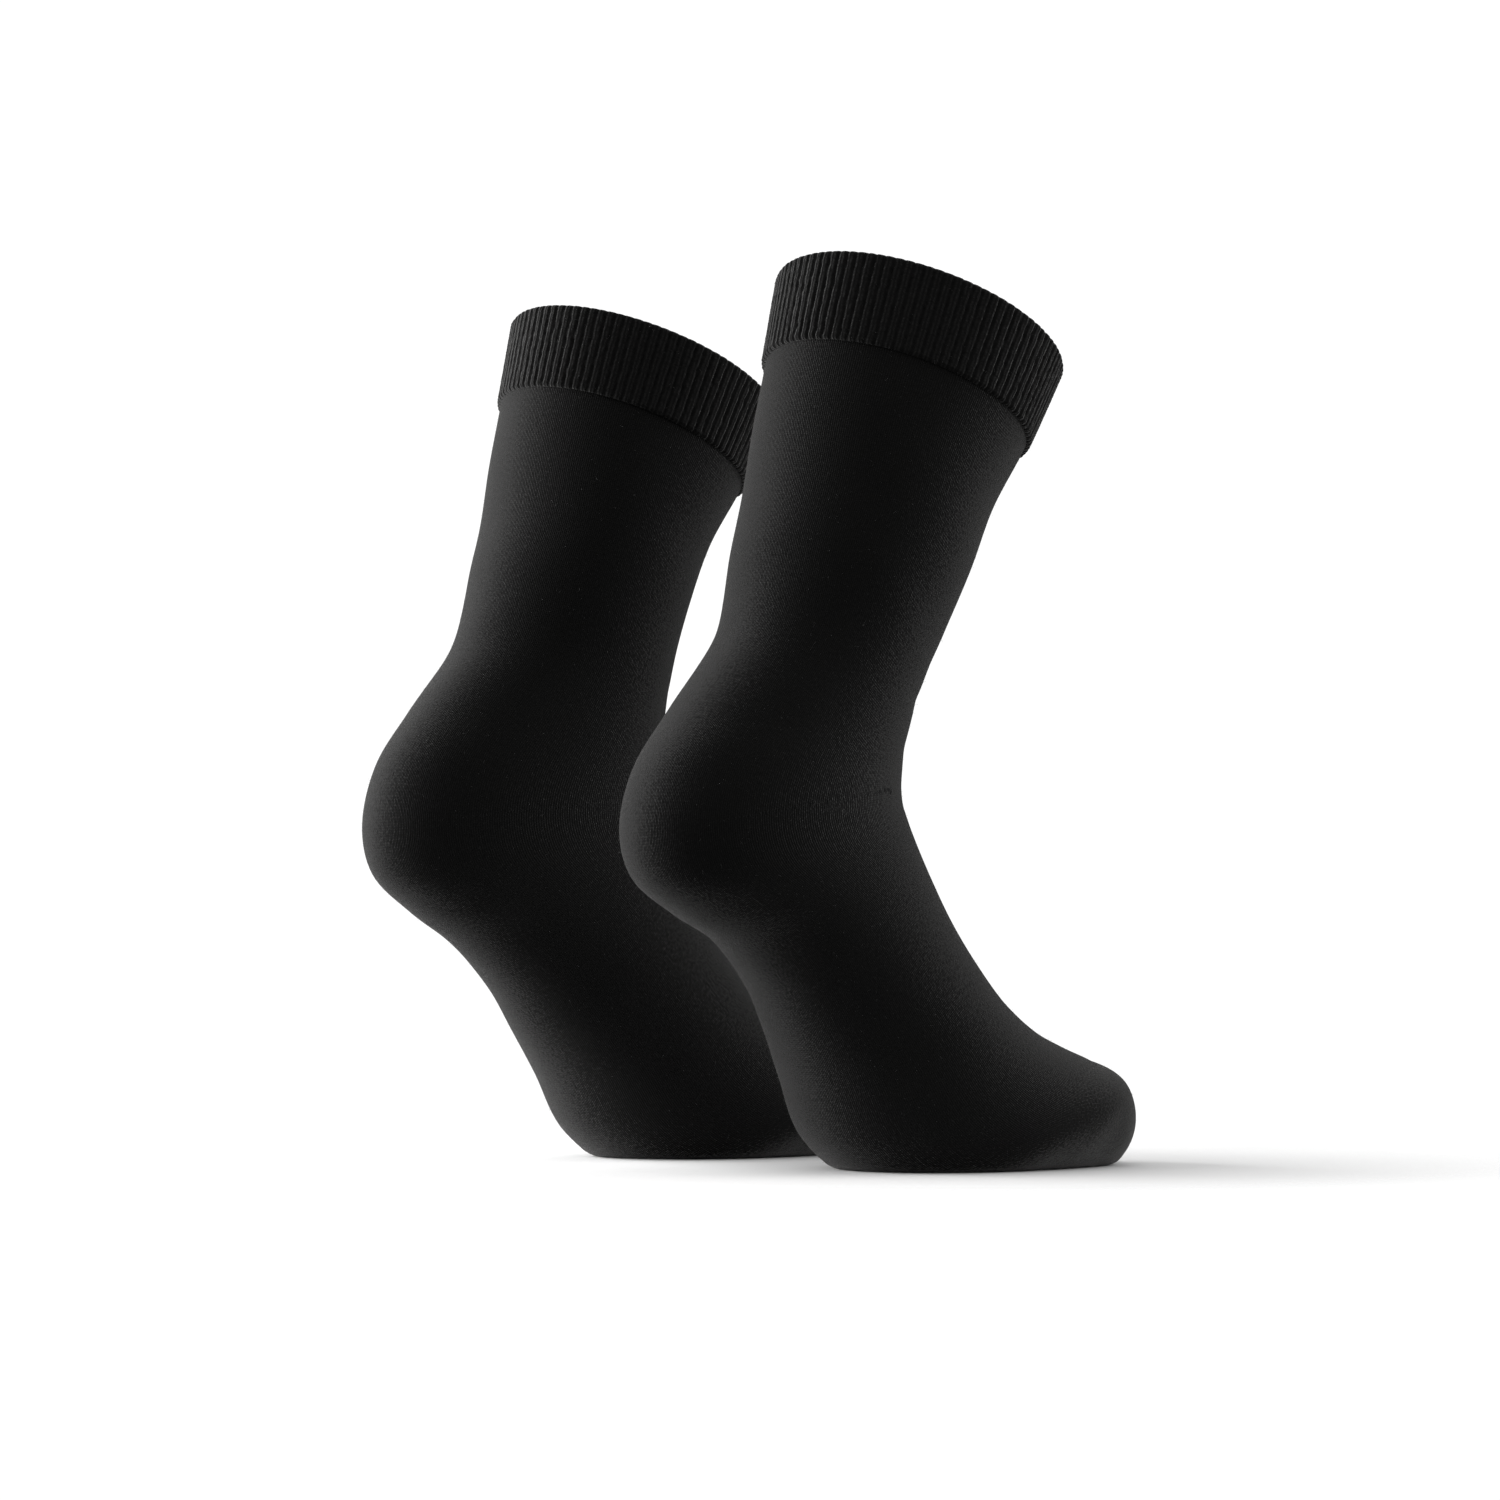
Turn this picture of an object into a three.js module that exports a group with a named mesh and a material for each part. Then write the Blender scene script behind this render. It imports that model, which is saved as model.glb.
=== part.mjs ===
import * as THREE from 'three';

// A pair of plain crew socks in fine black jersey, filled out as if worn, standing on tiptoe.
// Each sock is knitted in one tube: a ribbed cuff, the leg, a heel pocket between two gore
// points, the foot and a toe cap closed by a seam across its tip.
//
// Millimetres, +Z up. The toes point to -Y and +X is the wearer's left. The origin lies on the
// floor, midway between the balls of the two feet.

// Driving dimensions of the pair
const HEEL_SPACING = 150;         // between the two heels' back points
const TOE_IN = 1.5;               // each sock's turn towards the other, in degrees
const BALL_LINE = 165;            // from the heel's back point forward to the ball of the foot

// Driving dimensions of the cloth
const WALL = 1.5;                 // jersey, as a rigid wall
const SEAM_GAP = 0.3;             // clear gap between two neighbouring pieces
const CUFF_HEIGHT = 32;           // ribbed double welt
const CUFF_STEP = 1.0;            // how far the welt stands out past the jersey
const RIB_COUNT = 92;             // ribs around the welt
const RIB_RELIEF = 0.45;          // a rib's crest above and its groove below the welt's mean
const RIM_FOLD = 1.6;             // height over which the welt's rim rounds over
const RIM_TURN = 0.8;             // how far the rim draws in there
const WELT_HEM = 0.8;             // the same two at the welt's lower edge
const WELT_HEM_TURN = 0.4;
const TOE_SEAM_WALL = 2.2;        // cloth behind the toe seam

// How finely the walls are faceted
const COLUMNS = 36;               // columns of cloth around the tube
const BANDS = { leg: 7, heel: 8, foot: 10, toe: 6 };   // rows of cloth down each piece
const GORE_COLUMN = 11;           // columns from the back of the heel to the gore point
const POCKET_END = 0.8;           // how far past its last column the heel pocket runs
const POCKET_FULLNESS = 0.75;     // 1 gives the heel pocket straight edges, less rounds them out
const POINTS_PER_RIB = 2;
const CUFF_LINING_STEP = 4;       // outer points of the welt for each point of its plain inside

// Sections of the form that fills the right sock, from the rim down to the toe seam, each a ring
// around the foot. y runs forward from the heel's back point, z up from the floor. instepY,
// instepZ is where the ring crosses the shin or instep, and soleY, soleZ where it crosses the
// calf, heel or sole. width is across. bow is how far the ring's sides hang back behind its
// middle, flare moves its widest place towards the instep (+) or the sole (-), as a share of its
// half depth, and sway moves the ring towards the inner side of the foot.
const SECTION_TABLE = [
  ['name',      'instepY', 'instepZ', 'soleY', 'soleZ', 'width', 'bow', 'flare', 'sway'],
  ['rim',       165.5,     268,       73,      306,     92.5,    0,     0,       -4],
  ['cuffBase',  150.5,     241.5,     66,      276,     86.5,    0,     0,       -3.5],
  ['calf',      136,       220,       60.5,    252.5,   82.5,    0,     0,       -3],
  ['leg',       126,       198,       56,      230,     79,      0,     0,       -2.5],
  ['shin',      116,       178,       50.5,    211,     74,      0,     0,       -2],
  ['ankle',     107.5,     159,       42,      180,     67,      0,     0,       -1],
  ['heelStart', 104.5,     142,       20,      151.5,   65.5,    0,     -0.04,   0],
  ['heelUpper', 104.5,     134,       6,       133,     65.5,    0,     -0.08,   0],
  ['gore',      105,       127,       0,       113,     65,      0,     -0.1,    0],
  ['heelLower', 107.5,     119,       4.5,     97,      64,      0,     -0.08,   0],
  ['heelEnd',   110.5,     111,       21,      86,      63,      0,     -0.04,   0],
  ['arch',      116.5,     98,        39,      77,      63,      0,     0,       0],
  ['waist',     124.5,     85,        56.5,    61,      66,      0,     0,       1],
  ['midfoot',   134.5,     72,        67.5,    45,      72,      0,     0,       2],
  ['instep',    147.5,     58,        77,      29,      80,      0,     0,       3],
  ['ballBack',  163,       48,        89,      8,       87,      0,     0,       4],
  ['ball',      177,       42,        115,     -7,      90,      0,     0,       4],
  ['toeStart',  190,       37,        147,     -8,      89,      3,     0,       4],
  ['toes',      201,       33,        175,     -8,      79,      7,     0,       4],
  ['tip',       208,       28,        195,     -6,      67,      8,     0,       5],
  ['tipEnd',    212.5,     21.5,      207,     0,       53,      7,     0,       6],
  ['toeSeam',   214,       16,        214,     9,       40,      6,     0,       7],
];

// How the form that fills the left sock differs, as lengths added to the columns above: its heel
// sits a little higher and its ankle is bent less, so its shin and instep lie further forward.
const LEFT_CHANGE_TABLE = [
  ['name',      'instepY', 'soleY', 'soleZ'],
  ['leg',       0.5,       0,       0],
  ['shin',      4.5,       -1,      0],
  ['ankle',     10,        -2,      4],
  ['heelStart', 12,        -1,      6],
  ['heelUpper', 12.5,      0,       6],
  ['gore',      12.5,      0.5,     5],
  ['heelLower', 12,        0,       4],
  ['heelEnd',   11.5,      -1.5,    2.5],
  ['arch',      11,        -3,      1],
  ['waist',     10.5,      -3,      0.5],
  ['midfoot',   9.5,       -2.5,    0],
  ['instep',    7,         -1,      0],
  ['ballBack',  3,         0,       0],
];

// One object for each row of a table whose first row names the columns.
function rowsOf([names, ...rows]) {
  return rows.map((row) => Object.fromEntries(names.map((name, i) => [name, row[i]])));
}

const RIGHT_SECTIONS = rowsOf(SECTION_TABLE);
const LEFT_CHANGES = new Map(rowsOf(LEFT_CHANGE_TABLE).map(({ name, ...change }) => [name, change]));
const LEFT_SECTIONS = RIGHT_SECTIONS.map((section) => {
  const changed = { ...section };
  for (const [key, added] of Object.entries(LEFT_CHANGES.get(section.name) ?? {})) changed[key] += added;
  return changed;
});
const MEASURES = SECTION_TABLE[0].filter((name) => name !== 'name');

const COLOURS = { cuff: 0x131315, leg: 0x101012, heel: 0x111113, foot: 0x101012, toe: 0x111113 };
const FULL_TURN = 2 * Math.PI;
const BACK = -Math.PI / 2;        // the angle of the calf, heel and sole on every ring
const PROBE = 0.01;               // step for the slopes of the surface

// The smooth form that fills one sock, seen as a right sock.
class Form {
  constructor(sections) {
    this.sections = sections;
    const middleOf = (s) => new THREE.Vector2(s.instepY + s.soleY, s.instepZ + s.soleZ).multiplyScalar(0.5);
    const middles = sections.map(middleOf);
    // Distance of each section down the middle of the sock
    this.stations = [];
    for (const [i, middle] of middles.entries()) {
      this.stations.push(i === 0 ? 0 : this.stations[i - 1] + middle.distanceTo(middles[i - 1]));
    }
    this.at = Object.fromEntries(sections.map((s, i) => [s.name, this.stations[i]]));
    this.legEnd = (angle) => this.pocketEdge(angle, this.at.heelStart);
    this.footStart = (angle) => this.pocketEdge(angle, this.at.heelEnd);
  }

  // The slope of one column of the table at section i, for a smooth curve through all of them.
  slope(key, i) {
    const before = Math.max(i - 1, 0);
    const after = Math.min(i + 1, this.sections.length - 1);
    const rise = this.sections[after][key] - this.sections[before][key];
    return rise / (this.stations[after] - this.stations[before]);
  }

  // The table's columns at any distance down the sock.
  sectionAt(distance) {
    let i = this.stations.findIndex((station) => station > distance) - 1;
    if (i < 0) i = this.sections.length - 2;
    const span = this.stations[i + 1] - this.stations[i];
    const t = (distance - this.stations[i]) / span;
    const blend = {
      start: 1 + t * t * (2 * t - 3),
      end: t * t * (3 - 2 * t),
      startSlope: t * (t - 1) * (t - 1) * span,
      endSlope: t * t * (t - 1) * span,
    };
    const section = {};
    for (const key of MEASURES) {
      section[key] = this.sections[i][key] * blend.start + this.sections[i + 1][key] * blend.end
        + this.slope(key, i) * blend.startSlope + this.slope(key, i + 1) * blend.endSlope;
    }
    return section;
  }

  // A point of the form, before the floor flattens it. The angle is 0 at the outer side,
  // a quarter turn at the instep and minus a quarter turn at the heel.
  point(distance, angle) {
    const s = this.sectionAt(distance);
    const across = Math.cos(angle);
    const along = Math.sin(angle) + s.flare * across * across;
    const depth = new THREE.Vector2(s.instepY - s.soleY, s.instepZ - s.soleZ).multiplyScalar(0.5);
    const forward = new THREE.Vector2(-depth.y, depth.x).normalize().multiplyScalar(s.bow * across * across);
    return new THREE.Vector3(
      s.width / 2 * across - s.sway,
      (s.instepY + s.soleY) / 2 + depth.x * along + forward.x,
      (s.instepZ + s.soleZ) / 2 + depth.y * along + forward.y,
    );
  }

  slopeDown(distance, angle) {
    const ahead = this.point(distance + PROBE, angle);
    return ahead.sub(this.point(distance - PROBE, angle)).divideScalar(2 * PROBE);
  }

  slopeAround(distance, angle) {
    const ahead = this.point(distance, angle + PROBE);
    return ahead.sub(this.point(distance, angle - PROBE)).divideScalar(2 * PROBE);
  }

  // A point of the cloth, `proud` outside the form. The floor flattens it, and the inside of the
  // wall stays a wall's thickness above the floor.
  cloth(distance, angle, proud) {
    const outward = this.slopeDown(distance, angle).cross(this.slopeAround(distance, angle)).normalize();
    const point = this.point(distance, angle).addScaledVector(outward, proud);
    point.z = Math.max(point.z, WALL - proud);
    return point;
  }

  // The heel pocket: its upper and lower edges meet at the gore points and open towards the heel.
  pocketEdge(angle, limit) {
    const gore = BACK + GORE_COLUMN * FULL_TURN / COLUMNS;
    const open = (Math.sin(gore) - Math.sin(angle)) / (Math.sin(gore) + 1);
    return this.at.gore + (limit - this.at.gore) * Math.pow(Math.max(open, 0), POCKET_FULLNESS);
  }

  // Moves an edge of a piece by half the seam gap along the cloth: direction +1 is down the sock.
  trimmed(edge, direction) {
    return (angle) => {
      const distance = edge(angle);
      const ahead = this.point(edge(angle + PROBE), angle + PROBE);
      const run = ahead.sub(this.point(edge(angle - PROBE), angle - PROBE)).normalize();
      const perStation = this.slopeDown(distance, angle).cross(run).length();
      return distance + direction * SEAM_GAP / 2 / perStation;
    };
  }
}

// Collects triangles of one closed body, with the outer side's turn kept for both socks.
class Shell {
  constructor(mirrored) {
    this.mirrored = mirrored;
    this.points = [];
    this.faces = [];
  }

  add(point) {
    this.points.push(this.mirrored ? -point.x : point.x, point.y, point.z);
    return this.points.length / 3 - 1;
  }

  addGrid(rows) {
    return rows.map((row) => row.map((point) => this.add(point)));
  }

  face(a, b, c) {
    this.faces.push(...(this.mirrored ? [a, c, b] : [a, b, c]));
  }

  // Fills the strip between two rows of vertices of equal length.
  strip(upper, lower, closed) {
    const cells = closed ? upper.length : upper.length - 1;
    for (let j = 0; j < cells; j += 1) {
      const next = (j + 1) % upper.length;
      this.face(upper[j], lower[j], lower[next]);
      this.face(upper[j], lower[next], upper[next]);
    }
  }

  surface(grid, closed) {
    for (let i = 0; i + 1 < grid.length; i += 1) this.strip(grid[i], grid[i + 1], closed);
  }

  geometry() {
    const geometry = new THREE.BufferGeometry();
    geometry.setAttribute('position', new THREE.Float32BufferAttribute(this.points, 3));
    geometry.setIndex(this.faces);
    geometry.computeVertexNormals();
    return geometry;
  }
}

const column = (j) => BACK + j * FULL_TURN / COLUMNS;

// Rows of cloth points between two edges, for the columns from first to last.
function clothRows(form, upperEdge, lowerEdge, bands, first, last, proud) {
  const rows = [];
  for (let i = 0; i <= bands; i += 1) {
    const row = [];
    for (let j = first; j <= last; j += 1) {
      const angle = column(j);
      const distance = THREE.MathUtils.lerp(upperEdge(angle), lowerEdge(angle), i / bands);
      row.push(form.cloth(distance, angle, proud));
    }
    rows.push(row);
  }
  return rows;
}

// A tube of cloth with an open edge at each end.
function tube(form, mirrored, upperEdge, lowerEdge, bands) {
  const shell = new Shell(mirrored);
  const upper = form.trimmed(upperEdge, 1);
  const lower = form.trimmed(lowerEdge, -1);
  const outer = shell.addGrid(clothRows(form, upper, lower, bands, 0, COLUMNS - 1, WALL));
  const inner = shell.addGrid(clothRows(form, upper, lower, bands, 0, COLUMNS - 1, 0));
  shell.surface(outer, true);
  shell.surface(inner.toReversed(), true);
  shell.strip(inner[0], outer[0], true);
  shell.strip(outer[bands], inner[bands], true);
  return shell.geometry();
}

// The heel pocket, an open patch that narrows to a short end beside each gore point.
function pocket(form, mirrored, bands) {
  const shell = new Shell(mirrored);
  const upper = form.trimmed(form.legEnd, 1);
  const lower = form.trimmed(form.footStart, -1);
  const narrowed = (rows) => rows.map((row) => {
    const last = row.length - 1;
    row[0] = row[1].clone().lerp(row[0], POCKET_END);
    row[last] = row[last - 1].clone().lerp(row[last], POCKET_END);
    return row;
  });
  const rowsAt = (proud) => clothRows(form, upper, lower, bands, -GORE_COLUMN, GORE_COLUMN, proud);
  const outer = shell.addGrid(narrowed(rowsAt(WALL)));
  const inner = shell.addGrid(narrowed(rowsAt(0)));
  const end = outer[0].length - 1;
  shell.surface(outer, false);
  shell.surface(inner.toReversed(), false);
  shell.strip(inner[0], outer[0], false);
  shell.strip(outer[bands], inner[bands], false);
  shell.surface(outer.map((row, i) => [inner[i][0], row[0]]), false);
  shell.surface(outer.map((row, i) => [row[end], inner[i][end]]), false);
  return shell.geometry();
}

// The toe cap: a tube whose far end closes along the toe seam, outside and inside.
function toeCap(form, mirrored, bands) {
  const shell = new Shell(mirrored);
  const upper = form.trimmed(() => form.at.toes, 1);
  const outerEnd = () => form.at.toeSeam;
  const innerEnd = () => form.at.toeSeam - TOE_SEAM_WALL;
  const outer = shell.addGrid(clothRows(form, upper, outerEnd, bands, 0, COLUMNS - 1, WALL));
  const inner = shell.addGrid(clothRows(form, upper, innerEnd, bands, 0, COLUMNS - 1, 0));
  shell.surface(outer, true);
  shell.surface(inner.toReversed(), true);
  shell.strip(inner[0], outer[0], true);
  for (const [row, outward] of [[outer[bands], true], [inner[bands], false]]) {
    closeSeam(shell, row, outward);
  }
  return shell.geometry();
}

// Joins the upper and the lower half of a ring straight across, column to column.
function closeSeam(shell, row, outward) {
  const side = COLUMNS / 4;
  const over = [];
  const under = [];
  for (let k = 0; k <= COLUMNS / 2; k += 1) {
    over.push(row[side + k]);
    under.push(row[(side - k + COLUMNS) % COLUMNS]);
  }
  for (let k = 0; k < over.length - 1; k += 1) {
    const corners = outward
      ? [over[k], under[k], under[k + 1], over[k + 1]]
      : [over[k + 1], under[k + 1], under[k], over[k]];
    if (corners[0] !== corners[1]) shell.face(corners[0], corners[1], corners[2]);
    if (corners[2] !== corners[3]) shell.face(corners[0], corners[2], corners[3]);
  }
}

// The ribbed welt: ribs raised in its outer points over a plain inside, with folded round edges.
function cuff(form, mirrored) {
  const shell = new Shell(mirrored);
  const top = form.trimmed(() => form.at.rim, 1);
  const bottom = form.trimmed(() => form.at.cuffBase, -1);
  const points = RIB_COUNT * POINTS_PER_RIB;
  const ring = (share, proud, relief, step) => {
    const row = [];
    for (let j = 0; j < points; j += step) {
      const angle = BACK + j * FULL_TURN / points;
      const distance = THREE.MathUtils.lerp(top(angle), bottom(angle), share);
      const crest = j % POINTS_PER_RIB === 0 ? relief : -relief;
      row.push(form.cloth(distance, angle, proud + crest));
    }
    return row;
  };
  const welt = WALL + CUFF_STEP;
  const edgeRelief = RIB_RELIEF / 2;
  const outer = shell.addGrid([
    ring(0, welt - RIM_TURN, edgeRelief, 1),
    ring(RIM_FOLD / CUFF_HEIGHT, welt, RIB_RELIEF, 1),
    ring(1 - WELT_HEM / CUFF_HEIGHT, welt, RIB_RELIEF, 1),
    ring(1, welt - WELT_HEM_TURN, edgeRelief, 1),
  ]);
  const inner = shell.addGrid([
    ring(0, 0, 0, CUFF_LINING_STEP),
    ring(0.5, 0, 0, CUFF_LINING_STEP),
    ring(1, 0, 0, CUFF_LINING_STEP),
  ]);
  shell.surface(outer, true);
  shell.surface(inner.toReversed(), true);
  fanRim(shell, outer[0], inner[0], false);
  fanRim(shell, outer.at(-1), inner.at(-1), true);
  return shell.geometry();
}

// Joins a fine outer ring to a coarser inner one at an edge of the welt.
function fanRim(shell, outer, inner, facesDown) {
  const triangle = (a, b, c) => (facesDown ? shell.face(a, b, c) : shell.face(a, c, b));
  inner.forEach((point, k) => {
    const nextPoint = inner[(k + 1) % inner.length];
    const first = k * CUFF_LINING_STEP;
    const middle = CUFF_LINING_STEP / 2;
    for (let m = 0; m < CUFF_LINING_STEP; m += 1) {
      const a = outer[first + m];
      const b = outer[(first + m + 1) % outer.length];
      triangle(a, m < middle ? point : nextPoint, b);
    }
    triangle(outer[first + middle], point, nextPoint);
  });
}

// One sock with its pieces named for its side.
function sock(side) {
  const mirrored = side === 'left';
  const form = new Form(mirrored ? LEFT_SECTIONS : RIGHT_SECTIONS);
  const pieces = {
    cuff: cuff(form, mirrored),
    leg: tube(form, mirrored, () => form.at.cuffBase, form.legEnd, BANDS.leg),
    heel: pocket(form, mirrored, BANDS.heel),
    foot: tube(form, mirrored, form.footStart, () => form.at.toes, BANDS.foot),
    toe: toeCap(form, mirrored, BANDS.toe),
  };
  const group = new THREE.Group();
  for (const [name, geometry] of Object.entries(pieces)) {
    const material = new THREE.MeshStandardMaterial({ color: COLOURS[name], roughness: 0.95, metalness: 0 });
    const mesh = new THREE.Mesh(geometry, material);
    mesh.name = `${side}_${name}`;
    group.add(mesh);
  }
  return group;
}

const pair = new THREE.Group();
pair.name = 'socks';
for (const side of ['right', 'left']) {
  const outwards = side === 'right' ? -1 : 1;
  const turn = THREE.MathUtils.degToRad(-outwards * TOE_IN);
  const placed = sock(side);
  placed.rotation.z = Math.PI + turn;
  placed.position.set(outwards * HEEL_SPACING / 2, BALL_LINE * Math.cos(turn), 0);
  pair.add(placed);
}

export default pair;
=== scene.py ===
"""A pair of plain black crew socks in fine jersey, filled out as if worn on tiptoe.

Each sock is one knitted tube: a ribbed double welt, the leg, a reciprocated heel pocket with its two
gore lines, the foot and a toe closed by a linked seam. The cloth is a thin shell over the form that
fills the sock, and its knit coordinates count wales around the tube and courses down it.

Metres, +Z up, toes towards -Y, +X towards the wearer's left, origin on the floor midway between the
balls of the two feet. A knitter's sizes are given in millimetres and end up in metres through MM.
"""
from __future__ import annotations

import logging
import math
from collections.abc import Mapping, Sequence
from dataclasses import dataclass, field, replace
from enum import Enum

import bmesh
import bpy
import numpy as np
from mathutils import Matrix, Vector


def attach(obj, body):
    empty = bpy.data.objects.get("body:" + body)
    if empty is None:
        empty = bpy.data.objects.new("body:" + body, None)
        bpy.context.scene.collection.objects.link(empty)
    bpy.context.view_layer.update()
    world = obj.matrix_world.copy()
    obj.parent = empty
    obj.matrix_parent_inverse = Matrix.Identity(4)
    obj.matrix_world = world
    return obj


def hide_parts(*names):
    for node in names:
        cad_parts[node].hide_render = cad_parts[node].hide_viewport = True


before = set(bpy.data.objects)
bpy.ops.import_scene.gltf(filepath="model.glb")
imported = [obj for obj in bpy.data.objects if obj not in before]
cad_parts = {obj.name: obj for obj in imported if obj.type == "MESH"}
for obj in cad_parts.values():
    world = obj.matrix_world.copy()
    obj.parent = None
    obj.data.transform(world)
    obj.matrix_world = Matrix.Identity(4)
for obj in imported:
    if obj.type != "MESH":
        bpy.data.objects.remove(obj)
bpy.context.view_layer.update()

log = logging.getLogger("socks")

MM = 0.001
FULL_TURN = 2 * math.pi
BACK = -math.pi / 2  # the angle of the calf, heel and sole on every ring of the form

# Driving sizes of the pair and its cloth, in millimetres and degrees
HEEL_SPACING = 150.0
TOE_IN = 1.5
BALL_LINE = 165.0
WALL = 1.5
CLOTH = 1.0
SEAM_GAP = 0.3
RIBS = 92
WALES = 2 * RIBS
COURSE = 0.95


@dataclass(frozen=True)
class Section:
    """One ring of the form that fills the right sock, in millimetres.

    y runs forward from the heel's back point and z up from the floor. `instep` is where the ring
    crosses the shin or instep and `sole` where it crosses the calf, heel or sole. `bow` is how far
    its sides hang back, `flare` moves its widest place towards the instep, as a share of the half
    depth, and `sway` moves it towards the inner side of the foot.
    """

    name: str
    instep: tuple[float, float]
    sole: tuple[float, float]
    width: float
    bow: float = 0.0
    flare: float = 0.0
    sway: float = 0.0


SECTIONS = (
    Section("rim", (165.5, 268), (73, 306), 92.5, sway=-4),
    Section("cuff_base", (150.5, 241.5), (66, 276), 86.5, sway=-3.5),
    Section("calf", (136, 220), (60.5, 252.5), 82.5, sway=-3),
    Section("leg", (126, 198), (56, 230), 79, sway=-2.5),
    Section("shin", (116, 178), (50.5, 211), 74, sway=-2),
    Section("ankle", (107.5, 159), (42, 180), 67, sway=-1),
    Section("heel_start", (104.5, 142), (20, 151.5), 65.5, flare=-0.04),
    Section("heel_upper", (104.5, 134), (6, 133), 65.5, flare=-0.08),
    Section("gore", (105, 127), (0, 113), 65, flare=-0.1),
    Section("heel_lower", (107.5, 119), (4.5, 97), 64, flare=-0.08),
    Section("heel_end", (110.5, 111), (21, 86), 63, flare=-0.04),
    Section("arch", (116.5, 98), (39, 77), 63),
    Section("waist", (124.5, 85), (56.5, 61), 66, sway=1),
    Section("midfoot", (134.5, 72), (67.5, 45), 72, sway=2),
    Section("instep", (147.5, 58), (77, 29), 80, sway=3),
    Section("ball_back", (163, 48), (89, 8), 87, sway=4),
    Section("ball", (177, 42), (115, -7), 90, sway=4),
    Section("toe_start", (190, 37), (147, -8), 89, bow=3, sway=4),
    Section("toes", (201, 33), (175, -8), 79, bow=7, sway=4),
    Section("tip", (208, 28), (195, -6), 67, bow=8, sway=5),
    Section("tip_end", (212.5, 21.5), (207, 0), 53, bow=7, sway=6),
    Section("toe_seam", (214, 16), (214, 9), 40, bow=6, sway=7),
)


@dataclass(frozen=True)
class Change:
    """How a ring of the form in the left sock differs from the right one's, in added millimetres."""

    name: str
    instep_y: float
    sole_y: float = 0.0
    sole_z: float = 0.0

    def of(self, section: Section) -> Section:
        """The section with the change made to it."""
        return replace(
            section,
            instep=(section.instep[0] + self.instep_y, section.instep[1]),
            sole=(section.sole[0] + self.sole_y, section.sole[1] + self.sole_z),
        )


# The left heel sits a little higher and its ankle is bent less.
LEFT_CHANGES = (
    Change("leg", 0.5),
    Change("shin", 4.5, -1),
    Change("ankle", 10, -2, 4),
    Change("heel_start", 12, -1, 6),
    Change("heel_upper", 12.5, 0, 6),
    Change("gore", 12.5, 0.5, 5),
    Change("heel_lower", 12, 0, 4),
    Change("heel_end", 11.5, -1.5, 2.5),
    Change("arch", 11, -3, 1),
    Change("waist", 10.5, -3, 0.5),
    Change("midfoot", 9.5, -2.5),
    Change("instep", 7, -1),
    Change("ball_back", 3),
)


class Side(Enum):
    """Which foot a sock is for. The value points away from the other sock along X."""

    RIGHT = -1
    LEFT = 1

    @property
    def word(self) -> str:
        """The side's name as the node names spell it."""
        return self.name.lower()

    @property
    def sections(self) -> list[Section]:
        """The rings of this side's form, as on a right sock."""
        changes = {change.name: change for change in LEFT_CHANGES if self is Side.LEFT}
        return [changes[s.name].of(s) if s.name in changes else s for s in SECTIONS]

    def place(self, points: np.ndarray) -> np.ndarray:
        """Carry points from the right sock's own millimetres to this sock's place in metres.

        Args:
            points: Array whose last axis is x, y, z in the right sock's own frame.

        Returns:
            The placed points, in metres.
        """
        turn = math.radians(-self.value * TOE_IN)
        moved = self.turn_vectors(points)
        heel = np.array([self.value * HEEL_SPACING / 2, BALL_LINE * math.cos(turn), 0.0])
        return (moved + heel) * MM

    def turn_vectors(self, vectors: np.ndarray) -> np.ndarray:
        """Mirror and turn vectors from the right sock's own frame, keeping their unit.

        Args:
            vectors: Array whose last axis is x, y, z.

        Returns:
            The turned vectors.
        """
        turn = math.pi + math.radians(-self.value * TOE_IN)
        x = -vectors[..., 0] if self is Side.LEFT else vectors[..., 0]
        y = vectors[..., 1]
        flat = (x * math.cos(turn) - y * math.sin(turn), x * math.sin(turn) + y * math.cos(turn))
        return np.stack([*flat, vectors[..., 2]], axis=-1)


@dataclass(frozen=True)
class Crease:
    """A soft trough (or ridge, if its depth is negative) laid over the form.

    `at` is a section's name and `shift` how far past it the crease lies, `angle` where around the
    tube its middle is, in degrees from the outer side, and `reach` half its length there. `width`
    and `depth` are in millimetres, and `slant` is how far it climbs over its reach.
    """

    at: str
    shift: float
    angle: float
    reach: float
    width: float
    depth: float
    slant: float = 0.0


CREASES = (
    Crease("ankle", -9, 96, 46, 5.0, 0.35, 3.0),
    Crease("ankle", 4, 72, 40, 4.2, 0.5, -2.5),
    Crease("heel_start", 3, 104, 52, 5.5, 0.45, 2.0),
    Crease("gore", 5, 84, 38, 4.5, 0.35, -3.0),
    Crease("ankle", 1, -104, 34, 6.5, 0.5, 3.0),
    Crease("ankle", -17, -76, 30, 7.0, 0.4, -4.0),
    Crease("arch", 4, -82, 40, 7.5, 0.35, 3.5),
    Crease("shin", 2, 12, 26, 9.0, 0.3, 6.0),
    Crease("calf", 8, 168, 30, 9.0, 0.3, -7.0),
    Crease("toe_start", 2, 92, 44, 4.0, 0.3, 2.0),
    Crease("instep", 3, 20, 30, 8.0, -0.3, 5.0),
)


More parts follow.
